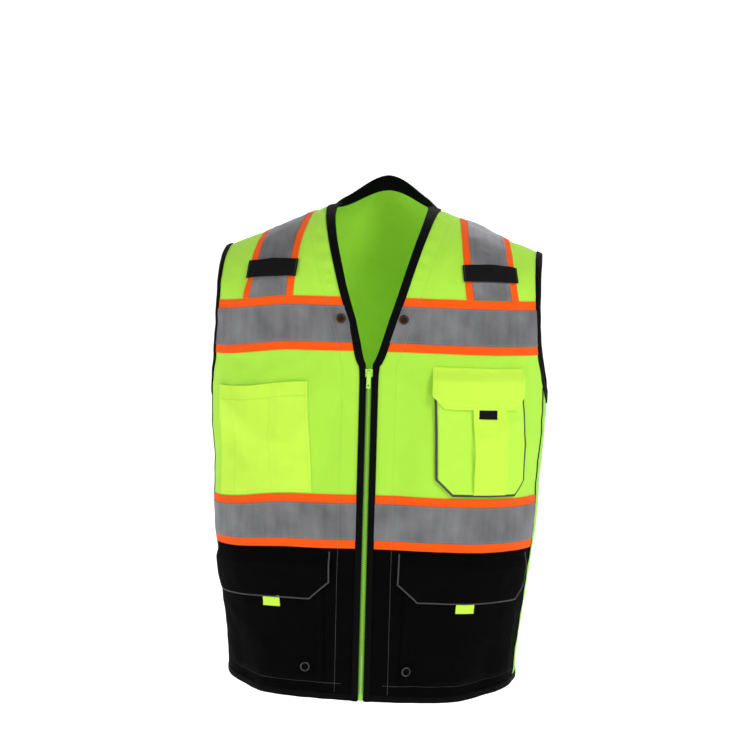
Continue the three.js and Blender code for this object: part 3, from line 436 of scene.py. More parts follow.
def surface_piece(name, points, faces, where, material, body, crisp=35):
    """Puts points, four-cornered faces and their map into a mesh, finishes it and sets it riding."""
    mesh = bpy.data.meshes.new(name)
    mesh.vertices.add(len(points))
    mesh.vertices.foreach_set("co", np.asarray(points, np.float32).ravel())
    mesh.loops.add(faces.size)
    mesh.loops.foreach_set("vertex_index", faces.ravel().astype(np.int32))
    mesh.polygons.add(len(faces))
    mesh.polygons.foreach_set("loop_start", np.arange(0, faces.size, 4, dtype=np.int32))
    mesh.update(calc_edges=True)
    mesh.uv_layers.new(name="cloth").data.foreach_set("uv", where[faces.ravel()].astype(np.float32).ravel())
    mesh.shade_smooth()
    mesh.set_sharp_from_angle(angle=np.radians(crisp))
    mesh.validate()
    mesh.materials.append(material)
    piece = bpy.data.objects.new(name, mesh)
    bpy.context.scene.collection.objects.link(piece)
    if body:
        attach(piece, body)
    return piece


def walled(name, inner, outer, material, body="shell"):
    """Two grids of points, joined by walls along their four edges into one closed cloth."""
    rows, columns = outer.shape[:2]
    spot = np.arange(rows * columns).reshape(rows, columns)
    under = spot + rows * columns
    faces = [np.stack([spot[:-1, :-1], spot[:-1, 1:], spot[1:, 1:], spot[1:, :-1]], -1)]
    faces.append(np.stack([under[:-1, :-1], under[1:, :-1], under[1:, 1:], under[:-1, 1:]], -1))
    rim = np.concatenate([spot[0, :-1], spot[:-1, -1], spot[-1, :0:-1], spot[:0:-1, 0]])
    after = np.roll(rim, -1)
    faces.append(np.stack([rim, rim + rows * columns, after + rows * columns, after], -1))
    faces = np.concatenate([f.reshape(-1, 4) for f in faces])
    points = np.concatenate([outer.reshape(-1, 3), inner.reshape(-1, 3)])
    where = np.tile(metric_map(outer).reshape(-1, 2), (2, 1))
    return surface_piece(name, points, faces, where, material, body)


def turned(grid, sign):
    """A grid as it is on the wearer's left, or with its columns turned round on the right."""
    return grid if sign > 0 else grid[:, ::-1]


def mirrored(deg, level, sign):
    """The same places on either side. Turning the columns round keeps the faces outward."""
    return sign * turned(deg, sign), turned(level, sign)


def between(start, end, low, high, pitch=0.004):
    """A grid of angles and levels. Each row runs from one side edge to the other, which are angles or
    functions of the level."""
    rows = max(int((high - low) / pitch), 2) + 1
    level = np.linspace(low, high, rows)[:, None]
    first = start(level) if callable(start) else np.full(level.shape, float(start))
    last = end(level) if callable(end) else np.full(level.shape, float(end))
    middle = (low + high) / 2
    degrees = float(np.max(np.abs(last - first)))
    columns = max(int(degrees / float(deg_span(pitch, 45.0, middle))), 2) + 1
    share = np.linspace(0, 1, columns)[None, :]
    deg = first + (last - first) * share
    return deg, np.broadcast_to(level, deg.shape)


def sewn(name, deg, level, low, high, material, slot, body="shell"):
    """A layer of cloth between two heights above the skin."""
    return walled(name, worn(deg, level, low), worn(deg, level, high), material, body)


WEAVE_ROUGH, WEAVE_DEPTH = 0.77, 0.00012


def woven(name, base, deep, glow=0.0, thread=0.0009, sheen=0.06, mottle=0.5, gloss=0.16):
    """Plain weave: two crossed waves make the threads, and broad noise makes the colour uneven. The dips
    between the threads are darkened as painted shade, and glow, where given, adds painted light.
    """
    cloth = Finish(name)
    place, across, along = cloth.along_cloth()
    warp = (across * (2 * np.pi / thread)).wave()
    weft = (along * (2 * np.pi / thread)).wave()
    thread_height = (warp * weft) * 0.5 + 0.5
    fibres = cloth.speckle(place, 900.0, 3.0)
    broad = cloth.speckle(place, 14.0, 3.0)
    # The dips between the threads darken the colour: painted shade.
    share = (broad - 0.35) * mottle + (1 - thread_height) * 0.22 + (fibres - 0.5) * 0.25
    colour = cloth.tint(share.clamped(0.0, 1.0), base, deep)
    cloth.set(Base_Color=colour, Roughness=fibres * 0.16 + WEAVE_ROUGH)
    cloth.set(Normal=cloth.relief(thread_height + fibres * 0.5, WEAVE_DEPTH))
    cloth.set(Sheen_Weight=sheen, Sheen_Roughness=0.5, Specular_IOR_Level=gloss)
    # The glow is painted light: the cloth gives off light of its own colour.
    if glow:
        cloth.set(Emission_Color=colour, Emission_Strength=glow)
    return cloth.material


lime_cloth = woven("lime_cloth", (0.45, 0.85, 0.066), (0.375, 0.75, 0.048), glow=0.06)
black_cloth = woven("black_cloth", (0.0012, 0.0012, 0.0014), (0.0030, 0.0030, 0.0034), sheen=0.0,
                    mottle=0.3, gloss=0.04)

BOTTOM = HEM + 0.004
for sign, side in ((-1, "right"), (1, "left")):
    places = mirrored(*between(zip_edge, side_edge, CLOTH_SEAM, -0.0004), sign)
    upper = sewn(f"front_{side}_cloth", *places, 0.0, PANEL_FACE, lime_cloth, "lime_fabric")
    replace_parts(upper, f"front_{side}_panel")
    places = mirrored(*between(zip_edge, SIDE_SEAM_FRONT, BOTTOM, CLOTH_SEAM - 0.0003), sign)
    lower = sewn(f"lower_front_{side}_cloth", *places, 0.0, PANEL_FACE, black_cloth, "black_fabric")
    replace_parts(lower, f"lower_front_{side}_panel")


def neckline_level(deg):
    """The level at which the back neckline, half an ellipse seen from above, crosses each angle."""
    x, y_wide, _ = np.abs(np.moveaxis(skin(deg, YOKE), -1, 0))
    y = NECK_DEPTH_BACK + BINDING_WIDTH
    y = y * np.sqrt(np.clip(1 - (x / (NECK_HALF_WIDTH + BINDING_WIDTH)) ** 2, 0, 1))
    turn = np.arccos(np.clip(y / np.maximum(y_wide, 1e-6), 0, 1))
    return np.minimum(YOKE * (1 - turn / (np.pi / 2)), -0.0004)


def back_places(low, rows, columns):
    """Rows climb from a level to the neckline and shoulder seams, and columns run between armholes."""
    share = np.linspace(-1, 1, columns)[None, :]
    climb = np.linspace(0, 1, rows)[:, None]
    level = low * (1 - climb) + 0 * share
    for _ in range(6):
        deg = 180 + share * (180 - back_edge(level))
        level = low + (neckline_level(deg) - low) * climb
    return deg, level


back = sewn("back_cloth", *back_places(CLOTH_SEAM, 124, 150), 0.0, PANEL_FACE, lime_cloth, "lime_fabric")
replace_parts(back, "back_panel")
places = between(SIDE_SEAM_BACK, 360 - SIDE_SEAM_BACK, BOTTOM, CLOTH_SEAM - 0.0003)
lower_back = sewn("lower_back_cloth", *places, 0.0, PANEL_FACE, black_cloth, "black_fabric")
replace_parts(lower_back, "lower_back_panel")

# ---------------------------------------------------------------- Side mesh
# A strip of open warp-knitted polyester under each arm lets air through. It is sewn to the front and
# back panels, and its upper edge carries the bottom of the armhole.
HOLE_PITCH = 0.0034
HOLE_RADIUS = 0.085**0.5  # as a share of the pitch


def side_places(rows, columns):
    """Columns run between the side seams, and rows climb from the hem to the armhole's curve, a power
    of each column's share of the way round."""
    deg = np.linspace(SIDE_SEAM_FRONT + 0.2, SIDE_SEAM_BACK - 0.2, columns)[None, :]
    share = (90 - np.abs(90 - deg) - ARMHOLE_DEG) / (90 - ARMHOLE_DEG)
    top = ARMPIT * share ** (1 / ARMHOLE_BEND) - 0.003
    climb = np.linspace(0, 1, rows)[:, None]
    level = BOTTOM + (top - BOTTOM) * climb
    return np.broadcast_to(deg, level.shape), level


knit = Finish("lime_mesh")
place, across, along = knit.along_cloth()
odd_row = ((along / HOLE_PITCH) * 0.5).fraction() > 0.5
u = ((across / HOLE_PITCH) + odd_row * 0.5).fraction() - 0.5
v = (along / HOLE_PITCH).fraction() - 0.5
thread = (u * u + v * v) > HOLE_RADIUS**2
knit_share = knit.speckle(place, 500.0) * 0.6
knit_colour = knit.tint(knit_share, (0.40, 0.86, 0.05), (0.30, 0.70, 0.03))
knit.set(Base_Color=knit_colour, Roughness=0.85, Alpha=thread, Sheen_Weight=0.2)
knit.set(Normal=knit.relief((u.size() + v.size()) * 0.7, 0.0004))
knit.set(Emission_Color=knit_colour, Emission_Strength=0.08)
for sign, side in ((-1, "right"), (1, "left")):
    places = mirrored(*side_places(100, 26), sign)
    strip = sewn(f"side_mesh_{side}", *places, 0.0, PANEL_FACE, knit.material, "lime_mesh")
    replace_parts(strip, f"{side}_side_mesh")

# ---------------------------------------------------------------- Bindings, collar and seam piping
# Black bias tape is folded over every raw edge and topstitched. At the back of the neck it stands up
# as a stiffened band. A thin black piping runs down each side seam.
BINDING_HEIGHT = (-0.0008, 0.0030)
FRONT_EDGE_WIDTH = 0.0115
NECK_EXTRA_WIDTH, NECK_EXTRA_FADE = 0.009, 0.030
ZIP_TAKEN_IN, ZIP_DRAWN_IN = 0.0024, 0.0036
PIPING_HALF_WIDTH, PIPING_HALF_THICK = 0.0015, 0.0011
HEM_HALF_WIDTH, HEM_HALF_THICK = 0.005, 0.0017


def ribbed(name, base, deep, rib=0.0011, rough=0.75):
    """Narrow woven tape: a slanting wave makes its ribs, and it is darker between them, painted shade in
    the grooves.
    """
    tape = Finish(name)
    place, across, along = tape.along_cloth()
    ribs = ((along + across * 0.7) * (2 * np.pi / rib)).wave() * 0.5 + 0.5
    fluff = tape.speckle(place, 700.0, 3.0)
    tape.set(Base_Color=tape.tint(ribs * 0.5 + fluff * 0.4, deep, base), Roughness=rough)
    tape.set(Normal=tape.relief(ribs + fluff * 0.6, 0.00016), Specular_IOR_Level=0.06)
    return tape.material


def run_length(points):
    """The distance along a path to each of its points."""
    return np.concatenate([[0], np.cumsum(np.linalg.norm(np.diff(points, axis=0), axis=1))])


def carried(name, path, half, thick, material, body="shell", around=16, power=0.55):
    """A rounded-oblong profile carried along a path, with capped ends. half and thick are its half width
    along right and half thickness along out, and power squares its corners."""
    centre, right, out = path
    turn = np.linspace(0, 2 * np.pi, around, endpoint=False)[None, :]
    wide = np.reshape(half, (-1, 1)) * np.sign(np.cos(turn)) * np.abs(np.cos(turn)) ** power
    high = thick * np.sign(np.sin(turn)) * np.abs(np.sin(turn)) ** power
    rings = centre[:, None] + right[:, None] * wide[..., None] + out[:, None] * high[..., None]
    spot = np.arange(len(centre) * around).reshape(-1, around)
    beside = np.roll(spot, -1, axis=1)
    faces = [np.stack([spot[:-1], beside[:-1], beside[1:], spot[1:]], -1).reshape(-1, 4)]
    half_ring = around // 2
    for ring, step in ((spot[0], 1), (spot[-1], -1)):
        top, low = ring[:half_ring], ring[:half_ring - 1:-1]
        faces.append(np.stack([top[:-1], low[:-1], low[1:], top[1:]], -1)[:, ::step])
    girth = turn[0] / (2 * np.pi) * (np.max(half) + thick) * 3
    where = np.stack(np.broadcast_arrays(girth[None, :], run_length(centre)[:, None]), -1).reshape(-1, 2)
    faces = np.concatenate(faces)[:, ::-1]
    return surface_piece(name, rings.reshape(-1, 3), faces, where, material, body, 60)


def path_frame(deg, level, height):
    """Points of a path on the worn cloth, the direction beside it and the outward direction."""
    centre, out = worn(deg, level, height), bare_normal(deg, level)
    right = np.cross(np.gradient(centre, axis=0), out)
    return centre, right / np.linalg.norm(right, axis=1, keepdims=True), out


bias_tape = ribbed("black_bias_tape", (0.0038, 0.0038, 0.0042), (0.0010, 0.0010, 0.0012))
middle_height = sum(BINDING_HEIGHT) / 2
half_height = (BINDING_HEIGHT[1] - BINDING_HEIGHT[0]) / 2
for sign, side in ((-1, "right"), (1, "left")):
    level = np.concatenate([np.linspace(HEM, VEE, 160)[:-1], np.linspace(VEE, -0.0005, 110)])
    by_zip = 1 / (1 + np.exp((level - VEE) / 0.006))
    wide = FRONT_EDGE_WIDTH + NECK_EXTRA_WIDTH * np.exp(level / NECK_EXTRA_FADE) - ZIP_TAKEN_IN * by_zip
    deg = sign * deg_at(vee_x(level) + FRONT_EDGE_WIDTH - ZIP_DRAWN_IN * by_zip - wide / 2, level)
    edge = carried(f"front_edge_{side}", path_frame(deg, level, middle_height), wide / 2, half_height,
                   bias_tape)
    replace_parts(edge, f"{side}_front_binding")
    climb = 1 - (1 - np.linspace(0, 1, 90)) ** 2
    climb = 0.002 + 0.998 * climb
    level = ARMPIT * np.concatenate([climb, climb[-2::-1]])
    deg = armhole(level)
    deg[90:] = 180 - deg[90:]
    ring = carried(f"armhole_edge_{side}", path_frame(sign * deg, level, middle_height), BINDING_WIDTH / 2,
                   half_height, bias_tape)
    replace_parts(ring, f"{side}_armhole_binding")
    level = np.linspace(BOTTOM, ARMPIT * 0.9 - 0.006, 120)
    for angle, label in ((SIDE_SEAM_FRONT, "front"), (SIDE_SEAM_BACK, "back")):
        path = path_frame(np.full(level.shape, sign * angle), level, 0.0010)
        seam = carried(f"side_seam_{label}_{side}", path, PIPING_HALF_WIDTH, PIPING_HALF_THICK, bias_tape,
                       around=10)
        if label == "front":
            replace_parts(seam, f"{side}_seam_piping")

start = float(deg_at(ZIP_OPENING + BINDING_WIDTH * 0.65, HEM))
deg = np.linspace(start, 360 - start, 420)
path = path_frame(deg, np.full(deg.shape, HEM + HEM_HALF_WIDTH), 0.0007)
hem = carried("hem_edge", path, HEM_HALF_WIDTH, HEM_HALF_THICK, bias_tape)
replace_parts(hem, "hem_binding")

COLLAR_RISE, COLLAR_THICK = 0.020, 0.0024


def collar_grid(inward, rows=10, columns=90):
    """Half an ellipse behind the neck, which climbs from the shoulders by a power of the sine and leans
    in as it climbs."""
    turn = np.radians(np.linspace(0, 180, columns))[None, :]
    climb = np.linspace(0, 1, rows)[:, None]
    lean = BINDING_WIDTH * (1 - climb**1.5) - inward
    x, y = (NECK_HALF_WIDTH + lean) * np.cos(turn), (NECK_DEPTH_BACK + lean) * np.sin(turn)
    foot_x = (NECK_HALF_WIDTH + BINDING_WIDTH) * np.cos(turn)
    foot_y = (NECK_DEPTH_BACK + BINDING_WIDTH) * np.sin(turn)
    flat = (1 - (np.abs(foot_x) / WIDTH_STOPS[-1]) ** SQUARENESS) ** (1 / SQUARENESS)
    over = np.arccos(np.clip(foot_y / (BACK_DEPTH * flat), 0, 1))
    nape = NAPE_RISE * np.clip(1 - (foot_x / NAPE_HALF_WIDTH) ** 2, 0, 1) ** 2 * np.sin(2 * over)
    foot = YOKE + (shoulder_line(foot_x) - YOKE) * np.sin(over) + nape
    z = foot + climb * (0.002 + COLLAR_RISE * np.sin(turn) ** 0.7)
    return np.stack(np.broadcast_arrays(x, y + 0.0004, z), -1)


collar = walled("neck_band", collar_grid(COLLAR_THICK), collar_grid(0.0), bias_tape)
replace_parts(collar, "back_collar")

# ---------------------------------------------------------------- Topstitching
# Seams are sewn with rows of short lockstitches. Each stitch is a small padded lozenge of thread that
# sinks into the cloth at both ends. The thread matches the cloth, and is grey on black.
STITCH_PITCH, STITCH_THICK = 0.0031, 0.00028


def thread_finish(name, colour, glow=0.0):
    """Twisted thread: fine slanting bands of painted light and shade stand for its twist, and glow, where
    given, is painted light.
    """
    thread = Finish(name)
    place = thread.node("ShaderNodeTexCoord")[3]
    slanting = {"bands_direction": "DIAGONAL"}
    bands = thread.node("ShaderNodeTexWave", slanting, {"Vector": place, "Scale": 900.0})
    shade = thread.tint(bands[0], tuple(c * 0.7 for c in colour), colour)
    thread.set(Base_Color=shade, Roughness=0.7, Specular_IOR_Level=0.1)
    return thread.set(Emission_Color=shade, Emission_Strength=glow)


def stitched(name, paths, material, body="shell"):
    """Rows of stitches along paths of (angles, levels, height). Each stitch is four square rings that
    swell in the middle, set at even distances along the path."""
    frames = []
    for deg, level, height in paths:
        deg, level, height = np.broadcast_arrays(*(np.asarray(v, float) for v in (deg, level, height)))
        path = path_frame(deg, level, height)
        length = run_length(path[0])
        at = np.arange(STITCH_PITCH / 2, length[-1], STITCH_PITCH)
        frames.append([np.stack([np.interp(at, length, v[:, k]) for k in range(3)], 1) for v in path])
    centre, right, out = (np.concatenate(v)[:, None, None, :] for v in zip(*frames))
    along = np.cross(out, right)
    reach = np.array([-0.36, -0.2, 0.2, 0.36])[None, :, None, None] * STITCH_PITCH
    swell = np.array([0.35, 1, 1, 0.35])[None, :, None, None] * STITCH_THICK
    sink = np.array([-0.8, 0, 0, -0.8])[None, :, None, None] * STITCH_THICK
    turn = np.array([[1, 0], [0, 1], [-1, 0], [0, -1]])
    across, high = turn[None, None, :, :1], turn[None, None, :, 1:]
    points = centre + along * reach + right * swell * across + out * (swell * high + sink)
    spot = np.arange(16).reshape(4, 4)
    beside = np.roll(spot, -1, axis=1)
    one = np.stack([spot[:-1], beside[:-1], beside[1:], spot[1:]], -1).reshape(-1, 4)
    one = np.concatenate([one, [[3, 2, 1, 0], [12, 13, 14, 15]]])
    faces = (one[None] + 16 * np.arange(len(points))[:, None, None]).reshape(-1, 4)
    flat = points.reshape(-1, 3)
    a, b, c = flat[faces[0][0]], flat[faces[0][1]], flat[faces[0][2]]
    if np.dot(np.cross(b - a, c - a), (a + b + c) / 3 - centre[0, 0, 0]) < 0:
        faces = faces[:, ::-1]
    return surface_piece(name, flat, faces, np.zeros((len(flat), 2)), material, body)


lime_thread = thread_finish("lime_thread", (0.40, 0.78, 0.07), 0.05)
grey_thread = thread_finish("grey_thread", (0.17, 0.17, 0.165))
black_thread = thread_finish("black_thread", (0.0022, 0.0022, 0.0025))
EDGE_ROW_IN, FACING_ROW_IN, HEM_ROW_UP = 0.0022, 0.0225, 0.023


def beside_zip(sign, low, high, count, inward, height):
    """A path that follows the front binding at a distance from it."""
    level = np.linspace(low, high, count)
    return sign * deg_at(vee_x(level) + BINDING_WIDTH + inward, level), level, height


front_rows, grey_rows = [], []
for sign in (-1, 1):
    front_rows.append(beside_zip(sign, CLOTH_SEAM, -0.004, 300, EDGE_ROW_IN, PANEL_FACE))
    front_rows.append(beside_zip(sign, CLOTH_SEAM, -0.004, 300, FACING_ROW_IN, PANEL_FACE))
    grey_rows.append(beside_zip(sign, BOTTOM, CLOTH_SEAM, 160, FACING_ROW_IN, PANEL_FACE))
    level = np.linspace(ARMPIT * 0.86, -0.002, 160)
    front_rows.append((sign * (armhole(level) - deg_span(0.0072, 60.0, level)), level, PANEL_FACE))
    front_rows.append((sign * (180 - armhole(level) + deg_span(0.0085, 120.0, level)), level, PANEL_FACE))
grey_rows.append((np.linspace(5.5, 354.5, 500), np.full(500, HEM + HEM_ROW_UP), PANEL_FACE))
stitched("lime_seam_stitches", front_rows, lime_thread)
stitched("grey_seam_stitches", grey_rows, grey_thread)

# ---------------------------------------------------------------- Reflective bands
# Silver tape of tiny glass beads on cloth is sewn along the middle of a fluorescent orange strip, and
# the strip to the vest: round the chest, round the waist and over each shoulder.
TRIM_HEIGHT = (0.0012, 0.0017)
TAPE_HEIGHT = (0.0020, 0.0024)
TRIM_ROW_IN, TAPE_ROW_IN = 0.0022, 0.0142
BAND_PITCH = 0.0035
SHOULDER_TOP_X, SHOULDER_CHEST_X = {-1: 0.1390, 1: 0.1330}, 0.1535
SHOULDER_SHIFT = {-1: -0.0078, 1: 0.0110}
SHOULDER_TRIM = 0.070

orange_cloth = woven("orange_strip", (0.98, 0.108, 0.003), (0.88, 0.075, 0.002), glow=0.08, thread=0.0008)
orange_thread = thread_finish("orange_thread", (0.9, 0.16, 0.02), 0.05)
silver_thread = thread_finish("silver_thread", (0.36, 0.37, 0.38))

beads = Finish("silver_tape")
place, across, along = beads.along_cloth()
grain = beads.speckle(place, 1500.0, 2.0)
cloud = beads.speckle(place, 18.0, 4.0)
stretched = beads.node("ShaderNodeMapping", {}, {"Vector": place, "Scale": (60.0, 7.0, 1.0)})[0]
streaks = beads.speckle(stretched, 1.0, 4.0)
twill = ((along - across) * (2 * np.pi / 0.0016)).wave() * 0.5 + 0.5
grey = (grain - 0.5) * 0.5 + (cloud - 0.5) * 1.7 + (streaks - 0.5) * 1.0 + twill * 0.12 + 0.40
silver = beads.tint(grey.clamped(0.0, 1.0), (0.105, 0.106, 0.112), (0.250, 0.252, 0.260))
beads.set(Base_Color=silver, Metallic=0.35)
beads.set(Roughness=(grain * 0.2 + cloud * 0.15 + 0.34).clamped(0.2, 0.8))
beads.set(Normal=beads.relief(streaks * 0.8 + cloud + grain * 0.12, 0.0011), Specular_IOR_Level=0.5)
silver_tape = beads.material


def past_back_edge(level):
    """The back panel's edge at the wearer's right."""
    return 360 - back_edge(level)


def rounds(top, inset):
    """The front right, front left and back places of a band, inset from its edges by that much."""
    low, high = top - TRIM_WIDTH + inset, top - inset
    half = between(zip_edge, side_edge, low, high, BAND_PITCH)
    back = between(back_edge, past_back_edge, low, high, BAND_PITCH)
    return {"right": mirrored(*half, -1), "left": half, "back": back}


def row_at(start, end, level, height, count=260):
    """A path across the cloth at one level, between two side edges."""
    first, last = float(start(level)), float(end(level))
    return np.linspace(first + 0.4, last - 0.4, count), np.full(count, level), height


silver_rows, orange_rows = [], []
for band, top in (("chest", CHEST_TOP), ("waist", WAIST_TOP)):
    trims, tapes = rounds(top, 0.0), rounds(top, (TRIM_WIDTH - TAPE_WIDTH) / 2)
    for part in ("right", "left", "back"):
        node = f"back_{band}" if part == "back" else band
        tail = "" if part == "back" else f"_{part}"
        strip = sewn(f"{band}_orange_{part}", *trims[part], *TRIM_HEIGHT, orange_cloth, "orange_trim")
        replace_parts(strip, f"{node}_trim{tail}")
        tape = sewn(f"{band}_silver_{part}", *tapes[part], *TAPE_HEIGHT, silver_tape, "silver_tape")
        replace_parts(tape, f"{node}_tape{tail}")
    for sign in (-1, 1):
        low, high = top - TRIM_WIDTH + 0.002, top - 0.002
        silver_rows.append(beside_zip(sign, low, high, 60, FACING_ROW_IN, TAPE_HEIGHT[1]))
    sewn_on = (TRIM_ROW_IN, TRIM_HEIGHT[1], orange_rows), (TAPE_ROW_IN, TAPE_HEIGHT[1], silver_rows)
    for inset, face, rows in sewn_on:
        for at in (top - inset, top - TRIM_WIDTH + inset):
            deg, level, height = row_at(zip_edge, side_edge, at, face)
            rows += [(deg, level, height), (-deg, level, height)]
            rows.append(row_at(back_edge, past_back_edge, at, face, 420))


def shoulder_centre(level, sign):
    """The band's middle leans in a straight line from its place on the chest band towards the neck."""
    top = SHOULDER_TOP_X[sign]
    return top + (SHOULDER_CHEST_X - top) * np.clip(level / CHEST_TOP, 0, 1) + SHOULDER_SHIFT[sign]


def shoulder_places(half, count, sign):
    """Rows climb the front, cross the shoulder seam and go down the back, at even distances to each side
    of the centre line."""
    climb = np.linspace(CHEST_TOP + 0.0005, -0.0005, 60)
    level = np.concatenate([climb, climb[::-1]])[:, None]
    offset = np.linspace(-half, half, count)[None, :]
    deg = deg_at(shoulder_centre(level, sign) + offset, level)
    deg[60:] = 180 - deg[60:]
    return deg, np.broadcast_to(level, deg.shape)


MIC_LEVELS, MIC_HALF_LENGTH = (-0.1030, -0.0835), 0.0362
MIC_STRAIGHT = 0.85  # how much of the shoulder's slope it does not follow
WEBBING_THICK = 0.0011
tab_webbing = ribbed("black_webbing", (0.012, 0.012, 0.013), (0.003, 0.003, 0.0034), 0.0021, 0.7)
for sign, side in ((-1, "right"), (1, "left")):
    deg, level = shoulder_places(SHOULDER_TRIM / 2, 22, sign)
    strip = sewn(f"shoulder_orange_{side}", *mirrored(deg, level, sign), *TRIM_HEIGHT, orange_cloth,
                 "orange_trim")
    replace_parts(strip, f"shoulder_trim_{side}")
    for edge in (1, -2):
        orange_rows.append((sign * deg[:, edge], level[:, 0], TRIM_HEIGHT[1]))
    deg, level = shoulder_places(TAPE_WIDTH / 2, 16, sign)
    tape = sewn(f"shoulder_silver_{side}", *mirrored(deg, level, sign), *TAPE_HEIGHT, silver_tape,
                "silver_tape")
    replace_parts(tape, f"shoulder_tape_{side}")
    for edge in (1, -2):
        silver_rows.append((sign * deg[:, edge], level[:, 0], TAPE_HEIGHT[1]))

    # Microphone tab: a straight level webbing strap, tacked down at both ends and slack in the middle
    drop = np.linspace(*MIC_LEVELS, 9)[:, None]
    across = np.linspace(-1, 1, 40)[None, :]
    centre = shoulder_centre(drop, sign)
    place = centre + across * MIC_HALF_LENGTH
    away = shoulder_line(centre) - shoulder_line(place)
    level = drop + MIC_STRAIGHT * away * np.sin(np.pi / 2 * (1 - drop / YOKE))
    slack = turned(0.0028 + 0.0016 * (1 - across**4) + 0 * level, sign)
    deg, level = mirrored(deg_at(place, level), level, sign)
    tab = sewn(f"microphone_tab_{side}", deg, level, slack, slack + WEBBING_THICK, tab_webbing,
               "black_webbing")
    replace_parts(tab, f"mic_tab_{side}")
    for edge in (1, -2):
        path = deg[:, edge], level[:, edge], slack[:, edge] + WEBBING_THICK
        stitched(f"microphone_tab_{side}_stitches_{edge % 3}", [path], grey_thread)
stitched("orange_stitches", orange_rows, orange_thread)
stitched("silver_stitches", silver_rows, silver_thread)

# ---------------------------------------------------------------- Open chest pocket
# A yellower patch on the wearer's right. Its mouth is hemmed, and two vertical seams divide it for pens.
POCKET_BOTTOM = WAIST_TOP + 0.0018
yellow_cloth = woven("yellow_lime_cloth", (0.60, 0.94, 0.075), (0.54, 0.88, 0.060), glow=0.07)
pale_cloth = woven("pale_lime_cloth", (0.52, 0.91, 0.075), (0.46, 0.84, 0.060), glow=0.07)
yellow_thread = thread_finish("yellow_thread", (0.52, 0.82, 0.10), 0.05)
PEN_FROM, PEN_TO, PEN_MOUTH = 15.0, 63.5, -0.244
PEN_SEAMS = (0.0, 0.32, 0.77, 1.0)
PEN_ROOM, PEN_HEM = 0.0075, 0.0195
PATCH_LIFT, PATCH_CLOTH = 0.0012, 0.0008

across = np.linspace(0, 1, 56)[None, :]
climb = np.linspace(0, 1, 46)[:, None]
mouth = PEN_MOUTH - 0.0035 * np.sin(np.pi * across)
level = POCKET_BOTTOM + (mouth - POCKET_BOTTOM) * climb
deg = PEN_FROM + 1.6 * climb + (PEN_TO - PEN_FROM - 2.6 * climb) * across
room = np.zeros(deg.shape)
for first, last in zip(PEN_SEAMS, PEN_SEAMS[1:]):
    lobe = np.clip((across - first) / (last - first), 0, 1)
    bulge = (last - first) * np.sin(np.pi * lobe) ** 0.7
    room = room + bulge * np.clip(climb * 9, 0, 1) * (0.55 + 0.45 * climb)
hem_step = 0.0005 / (1 + np.exp(-(level - mouth + PEN_HEM) / 0.0004))
under = PATCH_LIFT + PEN_ROOM * room
face = under + PATCH_CLOTH + hem_step
open_pocket = sewn("open_chest_pocket", *mirrored(deg, level, -1), turned(under, -1), turned(face, -1),
                   yellow_cloth, "yellow_fabric")
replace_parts(open_pocket, "right_chest_pocket")
pen_columns = [int(round(seam * 55)) for seam in PEN_SEAMS[1:-1]]
rows = [(-deg[0], mouth[0] - PEN_HEM, face[-6])]
rows += [(-deg[at], level[at], face[at]) for at in (np.s_[:, 1], np.s_[:, -2], np.s_[1])]
rows += [(-deg[:40, column], level[:40, column], face[:40, column]) for column in pen_columns]
stitched("open_chest_pocket_stitches", rows, yellow_thread)

# ---------------------------------------------------------------- Flap chest pocket
# A deep box pocket on the wearer's left with a pleat down its middle and cut-off lower corners. Grey
# piping runs round it. A flap hangs over its mouth, with a short black webbing tab to pull.
CORNER_LEAN = 0.85  # how far a cut-off corner reaches inwards for each metre of its height


def upright(start, end):
    """Two straight side edges at constant angles, as a function of the level."""
    return lambda level: (start + 0 * level, end + 0 * level)


def cut_sides(sides, level, low, corner):
    """Both side angles, which close in along straight lines over the lowest corner metres."""
    start, end = sides(level)
    cut = deg_span(1.0, (start + end) / 2, level) * np.maximum(corner - (level - low), 0) * CORNER_LEAN
    return start, end, cut


def chamfered(sides, low, high, corner, rows, columns):
    """A grid that runs evenly from one side to the other in rows that climb from low to high."""
    climb = np.linspace(0, 1, rows)[:, None]
    level = low + (high - low) * climb
    start, end, cut = cut_sides(sides, level, low, corner)
    share = np.linspace(0, 1, columns)[None, :]
    deg = (start + cut) + (end - start - 2 * cut) * share
    return deg, np.broadcast_to(level, deg.shape), share, climb


def outline(sides, low, high, corner, count=70):
    """The path down one side, round the bottom with its cut-off corners, and up the other side."""
    down = np.concatenate([np.linspace(high, low + corner, count), np.linspace(low + corner, low, 12)[1:]])
    start, end, cut = cut_sides(sides, down, low, corner)
    across = np.linspace((start + cut)[-1], (end - cut)[-1], count)[1:-1]
    deg = np.concatenate([start + cut, across, (end - cut)[::-1]])
    return deg, np.concatenate([down, np.full(across.shape, low), down[::-1]])


piping_cord = Finish("grey_piping")
place, across, along = piping_cord.along_cloth()
twill = ((along * 0.8 + across) * (2 * np.pi / 0.0012)).wave() * 0.5 + 0.5
piping_cord.set(Base_Color=piping_cord.tint(twill, (0.038, 0.039, 0.042), (0.085, 0.087, 0.092)))
piping_cord.set(Roughness=0.5, Specular_IOR_Level=0.25, Normal=piping_cord.relief(twill, 0.0002))


def piped(name, deg, level, height, sign, body, node, radius=0.0011):
    """Piping laid along a path at a height above the skin."""
    cord = carried(name, path_frame(sign * deg, level, height), radius, radius, piping_cord.material,
                   body, around=12, power=1.0)
    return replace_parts(cord, node)


def tray(share, climb, rise, wall=0.03):
    """Cloth that rises steeply near the sides and bottom and crowns gently between them."""
    side = np.clip(np.minimum(share, 1 - share) / wall, 0, 1)
    foot = np.clip(climb / wall, 0, 1)
    edge = np.minimum(side, foot)
    crown = np.sin(np.pi * share) ** 0.5 * (0.72 + 0.28 * np.sin(np.pi * np.clip(climb, 0, 1)))
    return rise * (0.42 * np.sqrt(edge * (2 - edge)) + 0.58 * edge * crown)


